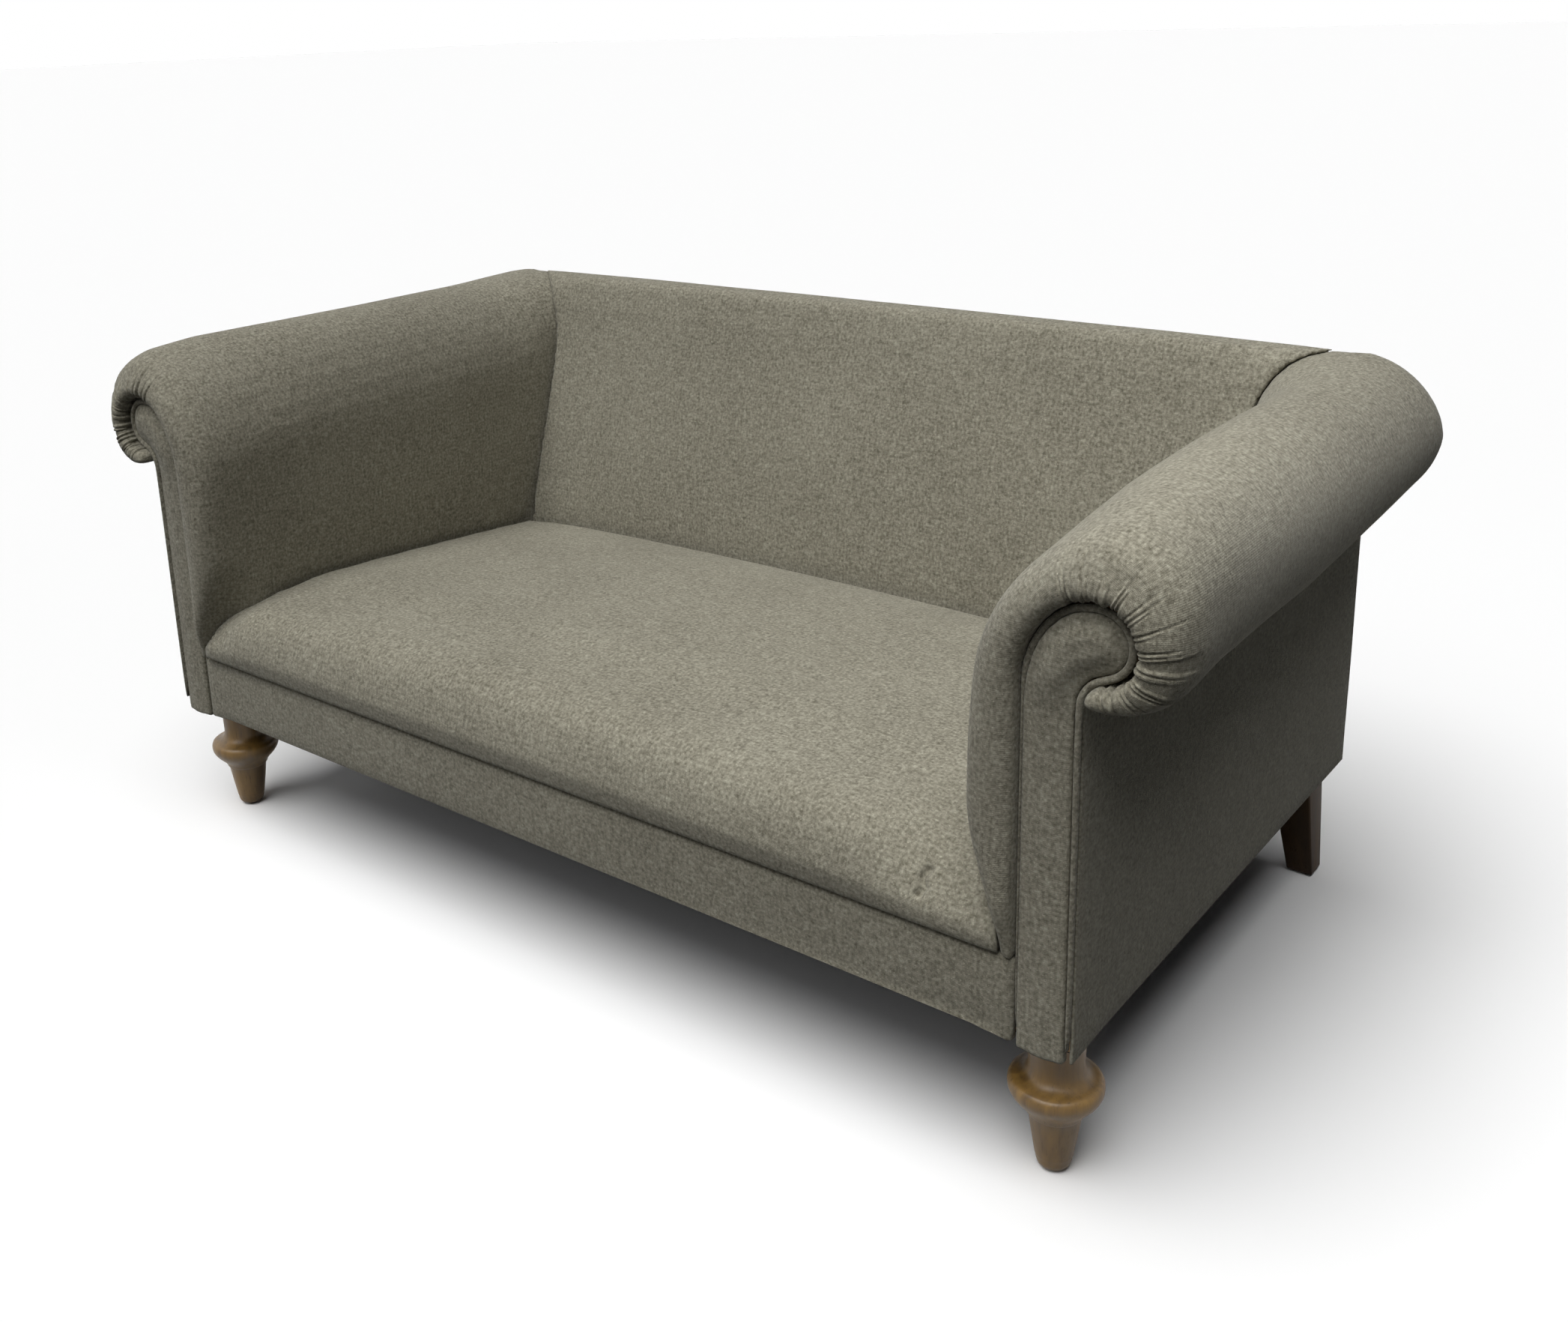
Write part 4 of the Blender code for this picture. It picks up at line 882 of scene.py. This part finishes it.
def soft_rim(piece, head, side, tree):
    """Round the rim's inner edge, and let its foot run down to the border's face."""
    spots = points(piece)
    inner = np.clip((head.x - spots[:, 0]) * SIDES[side] / RIM_INNER, 0, 1)
    front = np.clip((head.y + RIM_DEPTH - spots[:, 1]) / RIM_FADE, 0, 1)
    from_facing = np.array([tree.find_nearest(Vector(p))[3] if f else 1 for p, f in zip(spots, front)])
    weighted(piece, "rim", inner * front * risen(from_facing, *RIM_WAYS))
    smooth = piece.modifiers.new("rim", "SMOOTH")
    smooth.factor = 0.5
    smooth.iterations = RIM_EASE
    smooth.vertex_group = "rim"
    settled(piece)
    spots = points(piece)
    low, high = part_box("front_border")
    foot = 1 - risen(spots[:, 2], high.z, high.z + RIM_FOOT)
    proud = np.maximum(0, low.y - RIM_PROUD - spots[:, 1])
    spots[:, 1] += proud * foot * RIM_FOOT_SHARE
    beside = np.abs(spots[:, 0] * SIDES[side] - WELT_INNER)
    lip = post_run(spots, head) * (1 - risen(beside, *LIP_WAYS)) * (front > 0)
    spots[:, 0] += SIDES[side] * RIM_LIP * lip
    put(piece, spots)


def arm_weave(spots, side):
    """Cloth places on an arm: round the roll, and front to back."""
    x, y, z = spots.T
    across, up = x * SIDES[side] - ROLL_CENTRE[0], z - ROLL_CENTRE[1]
    radius = np.hypot(across, up)
    inner = (across < 0) & (up < 0)
    turn = np.mod(np.arctan2(up, -across) + math.pi / 2, 2 * math.pi) - math.pi / 2
    along = np.where(inner, up, ROLL_RADIUS * turn)
    sunk = np.where(inner, across + ROLL_RADIUS, ROLL_RADIUS - radius)
    return along, y - np.maximum(sunk, 0)


for number, side in enumerate(SIDES):
    node = "arm_pad_" + side
    arm, free = evened("arm_cover_" + side, node, ease=30)
    filled(arm, free)
    spots = points(arm)
    lift = uneven(spots, *ARM_WAVE, 20 + number) * free
    behind = risen(spots[:, 1], *TUCK_STARTS)
    spots += points(arm, "normal") * lift[:, None]
    spots += tucked(arm, ["seat_cover"], *ARM_TUCK, behind) + tucked(arm, ["seat_cover"], *SEAM_TUCK, behind)
    spots += tucked(arm, ["back_pad"], *MITRE_TUCK, 1 - risen(spots[:, 2], *MITRE_ENDS))
    put(arm, spots)
    head = scroll_head(side)
    tree = finder(["facing_welt_" + side])
    domed(arm, head, tree)
    soft_rim(arm, head, side, tree)
    put(arm, corner_spread(points(arm)))
    finer(arm, head, tree)
    gathered(arm, head, side, tree, 5 + number)
    upholstered(arm, node, 0.8, *arm_weave(points(arm), side))

# %% [markdown]
# ## The facings and their welts
#
# Each arm ends in a cane-shaped facing: a thin padded board covered on its own, with a welt, a covered cord,
# sewn round its edge. It could be filled like the pads, but it is small and firm: a fine mesh whose face is
# pushed out into a crown does as well. The welt keeps the path of its solid, whose coarse rings a subdivision
# rounds into a cord. Along the post it is pressed into its seam, as it is in the picture.

# %% Facings
FACING_VOXEL, FACING_EASE = 0.0025, 3
FACING_CAP, FACING_HEAD, FACING_ROUND = 0.0025, 0.0055, (0.001, 0.026)
HEM_BOW, HEM_RISE, HEM_BESIDE, HEM_BEHIND = 0.007, 0.030, 0.05, 0.12
HEM_LEAST, HEM_BELLY = 0.6, 1.6


def bowed(spots):
    """Let the covers' hem hang a little lower round the front corners."""
    low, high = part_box("front_border")
    x, y, z = spots.T
    past = np.abs(x) - WELT_INNER
    share = np.clip(past / (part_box("outside_arm_panel_right")[1].x - WELT_INNER), 0, 1)
    beside = np.clip(past / HEM_BESIDE + 1, 0, 1)
    behind = np.clip(1 - (y - high.y) / HEM_BEHIND, 0, 1)
    near_hem = np.clip(1 - (z - low.z) / HEM_RISE, 0, 1)
    spots[:, 2] -= HEM_BOW * (HEM_LEAST + HEM_BELLY * share * (1 - share)) * beside * behind ** 2 * near_hem
    return spots


for side in SIDES:
    node = "facing_panel_" + side
    facing, _ = evened("facing_cover_" + side, node, FACING_VOXEL, FACING_EASE)
    spots = bowed(points(facing))
    tree = finder(["facing_welt_" + side])
    depth = nearest(tree, spots)[1]
    front = points(facing, "normal")[:, 1] < -0.5
    crown = FACING_CAP + FACING_HEAD * (1 - post_run(spots, scroll_head(side)))
    spots[:, 1] -= np.where(front, crown * risen(depth, *FACING_ROUND), 0)
    from_edge = spots[:, 0] * SIDES[side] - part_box("facing_panel_right")[0].x
    lip = post_run(spots, scroll_head(side)) * (1 - risen(from_edge, *LIP_WAYS))
    spots[:, 0] -= SIDES[side] * RIM_LIP * lip
    put(facing, spots)
    upholstered(facing, node, 0.6, spots[:, 0], spots[:, 2])

# %% Welts
WELT_PLUMP = 0.0005
WELT_RADIUS = 0.0040
WELT_SUNK = 0.0055
WELT_PRESSED, WELT_NEAR = 0.5, 0.01
for side in SIDES:
    node = "facing_welt_" + side
    bm = merged(node)
    bmesh.ops.join_triangles(bm, faces=bm.faces, angle_face_threshold=1.0, angle_shape_threshold=1.6)
    welt = placed(bm, "welt_" + side)
    rounded = welt.modifiers.new("rounded", "SUBSURF")
    rounded.levels = rounded.render_levels = 2
    settled(welt)
    spots = bowed(points(welt) + points(welt, "normal") * WELT_PLUMP)
    head = scroll_head(side)
    spots[:, 1] += WELT_SUNK * inner_run(spots, head, side)
    cord = SIDES[side] * (WELT_INNER + WELT_RADIUS)
    pressed = WELT_PRESSED * post_run(spots, head) * (np.abs(spots[:, 0] - cord) < WELT_NEAR)
    spots[:, 0] += (cord - spots[:, 0]) * pressed
    put(welt, spots)
    x, y, z = spots.T
    upholstered(welt, node, 1.0, (x + z) * 0.7, (x - z) * 0.7 + y, "welt_cloth", welt_cloth)

# %% [markdown]
# ## The border and the outside panels
#
# Below the seat seam runs a flat border, and the outsides of arms and back are card under stretched cloth.
# They could stay flat plates, but real ones have soft edges and are never quite even. So the plate's edges
# are rounded, planes cut its faces into a grid, and the grid's middle is pushed out by a few millimetres.

# %% Flat panels
FLAT_WITHIN, SHARP_BEYOND = 0.02, 0.6
BORDER_END = RIM_LIP + 0.001


def panel(name, node, pitch, edge, along=None):
    """A plate's solid with rounded edges, all or those along one axis, and a grid of points on its faces."""
    bm = merged(node)
    bmesh.ops.dissolve_limit(bm, angle_limit=FLAT_WITHIN, verts=bm.verts, edges=bm.edges)
    sharp = [e for e in bm.edges if e.calc_face_angle(0) > SHARP_BEYOND]
    if along is not None:
        sharp = [e for e in sharp if abs((e.verts[0].co - e.verts[1].co).normalized()[along]) > 0.9]
    bmesh.ops.bevel(bm, geom=sharp, offset=edge, segments=3, profile=0.5, affect="EDGES", material=-1,
                    clamp_overlap=True)
    low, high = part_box(node)
    for axis in range(3):
        count = int((high[axis] - low[axis]) / pitch)
        normal = Vector([float(i == axis) for i in range(3)])
        for step in range(1, count):
            everything = bm.verts[:] + bm.edges[:] + bm.faces[:]
            cut = low.lerp(high, step / count)
            bmesh.ops.bisect_plane(bm, geom=everything, plane_co=cut, plane_no=normal)
    bmesh.ops.triangulate(bm, faces=[f for f in bm.faces if len(f.verts) > 4])
    return placed(bm, name)


def plumped(piece, node, outwards, crown, ripple, margin, seed):
    """Push a panel's outer face out, most in the middle and not at all at its edge."""
    low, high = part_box(node)
    spots = points(piece)
    axis = int(np.argmax(np.abs(outwards)))
    height = np.ones(len(spots))
    for other in range(3):
        if other != axis:
            reach = np.minimum(spots[:, other] - low[other], high[other] - spots[:, other])
            height *= np.clip(reach / margin, 0, 1) ** 0.6
    faces_out = (points(piece, "normal") @ np.array(outwards)) > 0.7
    push = (height * crown + uneven(spots, 0.14, ripple, seed) * height) * faces_out
    put(piece, spots + np.array(outwards) * push[:, None])


border = panel("border_cover", "front_border", pitch=0.016, edge=0.004, along=0)
plumped(border, "front_border", (0, -1, 0), crown=0.0022, ripple=0.0016, margin=0.03, seed=2)
spots = bowed(points(border))
ends = np.abs(spots[:, 0]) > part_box("front_border")[1].x - 0.001
spots[ends, 0] += np.sign(spots[ends, 0]) * BORDER_END
put(border, spots)
upholstered(border, "front_border", 0.4, spots[:, 0], spots[:, 2])

for side, sign in SIDES.items():
    node = "outside_arm_panel_" + side
    outside = panel("outside_arm_" + side, node, pitch=0.020, edge=0.0015)
    plumped(outside, node, (sign, 0, 0), crown=0.0025, ripple=0.0016, margin=0.08, seed=30)
    spots = bowed(points(outside))
    put(outside, spots)
    upholstered(outside, node, 0.2, spots[:, 1], spots[:, 2])

outside = panel("outside_back", "outside_back_panel", pitch=0.024, edge=0.0015)
plumped(outside, "outside_back_panel", (0, 1, 0), crown=0.003, ripple=0.002, margin=0.12, seed=40)
spots = points(outside)
upholstered(outside, "outside_back_panel", 0.2, spots[:, 0], spots[:, 2])

# %% [markdown]
# ## Hessian and dust cover
#
# Two plain sheets close the seat: jute hessian tacked over the straps, and a black dust cover under the
# frame. They are cut flat and stretched from rail to rail. The dust cover hangs a little between its tacks.

# %% Stretched sheets
SHEET_PITCH, SHEET_EDGE = 0.05, 0.0004


def stretched_sheet(name, node, sag):
    """A thin sheet in its solid's place that hangs a little in the middle."""
    piece = panel(name, node, SHEET_PITCH, SHEET_EDGE)
    low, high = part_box(node)
    spots = points(piece)
    middle = np.ones(len(spots))
    for axis in range(2):
        share = (spots[:, axis] - low[axis]) / (high[axis] - low[axis])
        middle *= np.clip(4 * share * (1 - share), 0, 1) ** 0.7
    spots[:, 2] -= sag * middle
    put(piece, spots)
    return piece


RAILS = ["front_rail", "back_rail", "side_rail_left", "side_rail_right"]
for name, node, finish, slot, sag, under in (
    ("hessian_sheet", "seat_hessian", hessian_cloth, "hessian", 0.0, ["seat_strap_1", "seat_strap_4"]),
    ("dust_sheet", "dust_cover", dust_cloth, "dust_cloth", 0.004, RAILS),
):
    sheet = stretched_sheet(name, node, sag)
    dressed(sheet, finish, node)
    low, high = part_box(node)

# %% [markdown]
# ## Feet and legs
#
# The front feet are turned: a short neck, a wide collar with a rounded rim, a bowl that falls to a small step
# at the ankle, and a shank that tapers to a round toe. A lathe makes them by spinning one profile, and so
# does spin here. The rear legs are square, raked backwards, and get eased edges.

# %% Turned feet
FOOT_PROFILE = (
    (0.0330, 0.1952), (0.0320, 0.1600), (0.0312, 0.1400), (0.0318, 0.1310), (0.0345, 0.1252), (0.0395, 0.1216),
    (0.0450, 0.1195), (0.0492, 0.1184), (0.0522, 0.1163), (0.0536, 0.1130), (0.0540, 0.1085), (0.0534, 0.1040),
    (0.0516, 0.1000), (0.0490, 0.0958), (0.0450, 0.0910), (0.0408, 0.0868), (0.0372, 0.0828), (0.0346, 0.0790),
    (0.0332, 0.0758), (0.0326, 0.0740), (0.0306, 0.0728), (0.0300, 0.0715), (0.0285, 0.0600), (0.0262, 0.0450),
    (0.0238, 0.0300), (0.0222, 0.0200), (0.0218, 0.0180), (0.0211, 0.0165), (0.0205, 0.0120), (0.0190, 0.0070),
    (0.0165, 0.0042), (0.0140, 0.0033),
)
BOLT_HOLE = (0.0042, 0.1490)
TURN_STEPS = 72

for side in SIDES:
    node = "front_foot_" + side
    low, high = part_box(node)
    axis = (low + high) / 2
    bm = bmesh.new()
    hole = [(0, BOLT_HOLE[1]), BOLT_HOLE, (BOLT_HOLE[0], FOOT_PROFILE[0][1])]
    last = None
    for radius, z in [*hole, *FOOT_PROFILE, (0, FOOT_PROFILE[-1][1])]:
        spot = bm.verts.new((axis.x + radius, axis.y, z))
        if last:
            bm.edges.new((last, spot))
        last = spot
    bmesh.ops.spin(bm, geom=bm.verts[:] + bm.edges[:], cent=axis, axis=(0, 0, 1), angle=2 * math.pi,
                   steps=TURN_STEPS, use_merge=True)
    bmesh.ops.remove_doubles(bm, verts=bm.verts, dist=MERGED_WITHIN)
    bmesh.ops.recalc_face_normals(bm, faces=bm.faces)
    foot = placed(bm, "turned_foot_" + side)
    dressed(foot, oak, node)
    foot.data.set_sharp_from_angle(angle=math.radians(50))

# %% Rear legs
LEG_EDGE, LEG_SHARP, TOE_WITHIN = 0.003, 1.2, 0.01
for side in SIDES:
    node = "rear_leg_" + side
    bm = merged(node)
    bmesh.ops.dissolve_limit(bm, angle_limit=FLAT_WITHIN, verts=bm.verts, edges=bm.edges)
    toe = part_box(node)[0].z + TOE_WITHIN
    edges = [e for e in bm.edges if e.calc_face_angle(0) > LEG_SHARP and min(v.co.z for v in e.verts) < toe]
    bmesh.ops.bevel(bm, geom=edges, offset=LEG_EDGE, segments=3, profile=0.5, affect="EDGES", material=-1)
    leg = placed(bm, "raked_leg_" + side)
    # the rear legs take the oak darkened with painted shade
    dressed(leg, oak_in_painted_shade, node)
    leg.data.set_sharp_from_angle(angle=math.radians(40))

# %% [markdown]
# ## The frame's own pieces
#
# Rails, boards, straps, bolts and glides have the right shape already, so they stay as they are and only take
# a finish. The fibres of a rail run along its longest side.

# %% Finishes on the frame
SMALL_FINISHES = {
    "seat_strap": strap_cloth, "back_strap": back_strap_cloth, "leg_bolt": zinc_steel, "glide": nylon,
}


def frame_finish(node):
    """The finish of a solid that stays as it is."""
    for start, finish in SMALL_FINISHES.items():
        if node.startswith(start):
            return finish
    low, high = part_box(node)
    return beech[max(range(3), key=lambda axis: high[axis] - low[axis])]


kept = 0
for node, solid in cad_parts.items():
    if not solid.hide_render:
        for slot in solid.material_slots:
            slot.material = frame_finish(node)
        kept += 1
print("solids that show their own shape:", kept)

# %% [markdown]
# ## Floor and light
#
# The sofa stands on a white floor in soft light from above, a little from the front. Softboxes could be built
# as area lamps, but suns with wide discs light the floor evenly everywhere and have the same soft shadows.
# Two weaker suns fill in from the front and the left. One small softbox hangs over the right arm, which is
# the brightest place of the picture. The floor is white to the eye, but gives back less light to the sofa, so
# that its right side stays as dark as in the picture.

# %% Studio
SUNS = (
    ("key_sun", (0.018, -0.342, 0.940), 2.8, 50),
    ("front_sun", (0.0, -0.707, 0.707), 0.33, 40),
    ("left_fill", (-0.814, -0.296, 0.5), 0.35, 60),
)
BOX_AT, BOX_WATTS, BOX_SIZE = (0.80, -0.34, 1.5), 2.9, 0.5
SKY = 0.01
FLOOR_SEEN = 1.0
FLOOR_GIVEN = 0.06
FLOOR_SIZE = 60

for name, origin, strength, disc in SUNS:
    light = bpy.data.lights.new(name, "SUN")
    light.energy = strength
    light.angle = math.radians(disc)
    added(name, light).rotation_euler = Vector(origin).to_track_quat("Z", "Y").to_euler()
softbox = bpy.data.lights.new("arm_softbox", "AREA")
softbox.shape = "DISK"
softbox.size = BOX_SIZE
softbox.energy = BOX_WATTS
added("arm_softbox", softbox).location = BOX_AT


def seen(wire):
    """1 for what the camera sees, straight or in a reflection."""
    looks = [wire.node("ShaderNodeLightPath", None, None, out=name)
             for name in ("Is Camera Ray", "Is Glossy Ray", "Is Transmission Ray")]
    return (looks[0] + looks[1] + looks[2]).clipped()


world = bpy.data.worlds.new("studio")
world.use_nodes = True
scene.world = world
backdrop = world.node_tree.nodes["Background"]
start = Wire(world.node_tree, backdrop.outputs[0])
plug(seen(start) * (1 - SKY) + SKY, backdrop, "Strength")
plug((1, 1, 1, 1), backdrop, "Color")

bm = bmesh.new()
bmesh.ops.create_grid(bm, x_segments=1, y_segments=1, size=FLOOR_SIZE)
floor = placed(bm, "floor")
floor_white, shader, place = new_finish("studio_floor")
plug(seen(place).blended(paint([FLOOR_GIVEN] * 3), paint([FLOOR_SEEN] * 3)), shader, "Base Color")
plug(1.0, shader, "Roughness")
plug(0.0, shader, "Specular IOR Level")
floor.data.materials.append(floor_white)

scene.view_settings.view_transform = "Standard"
print("suns of", [sun[2] for sun in SUNS], "and a softbox of", BOX_WATTS, "W, sky", SKY)
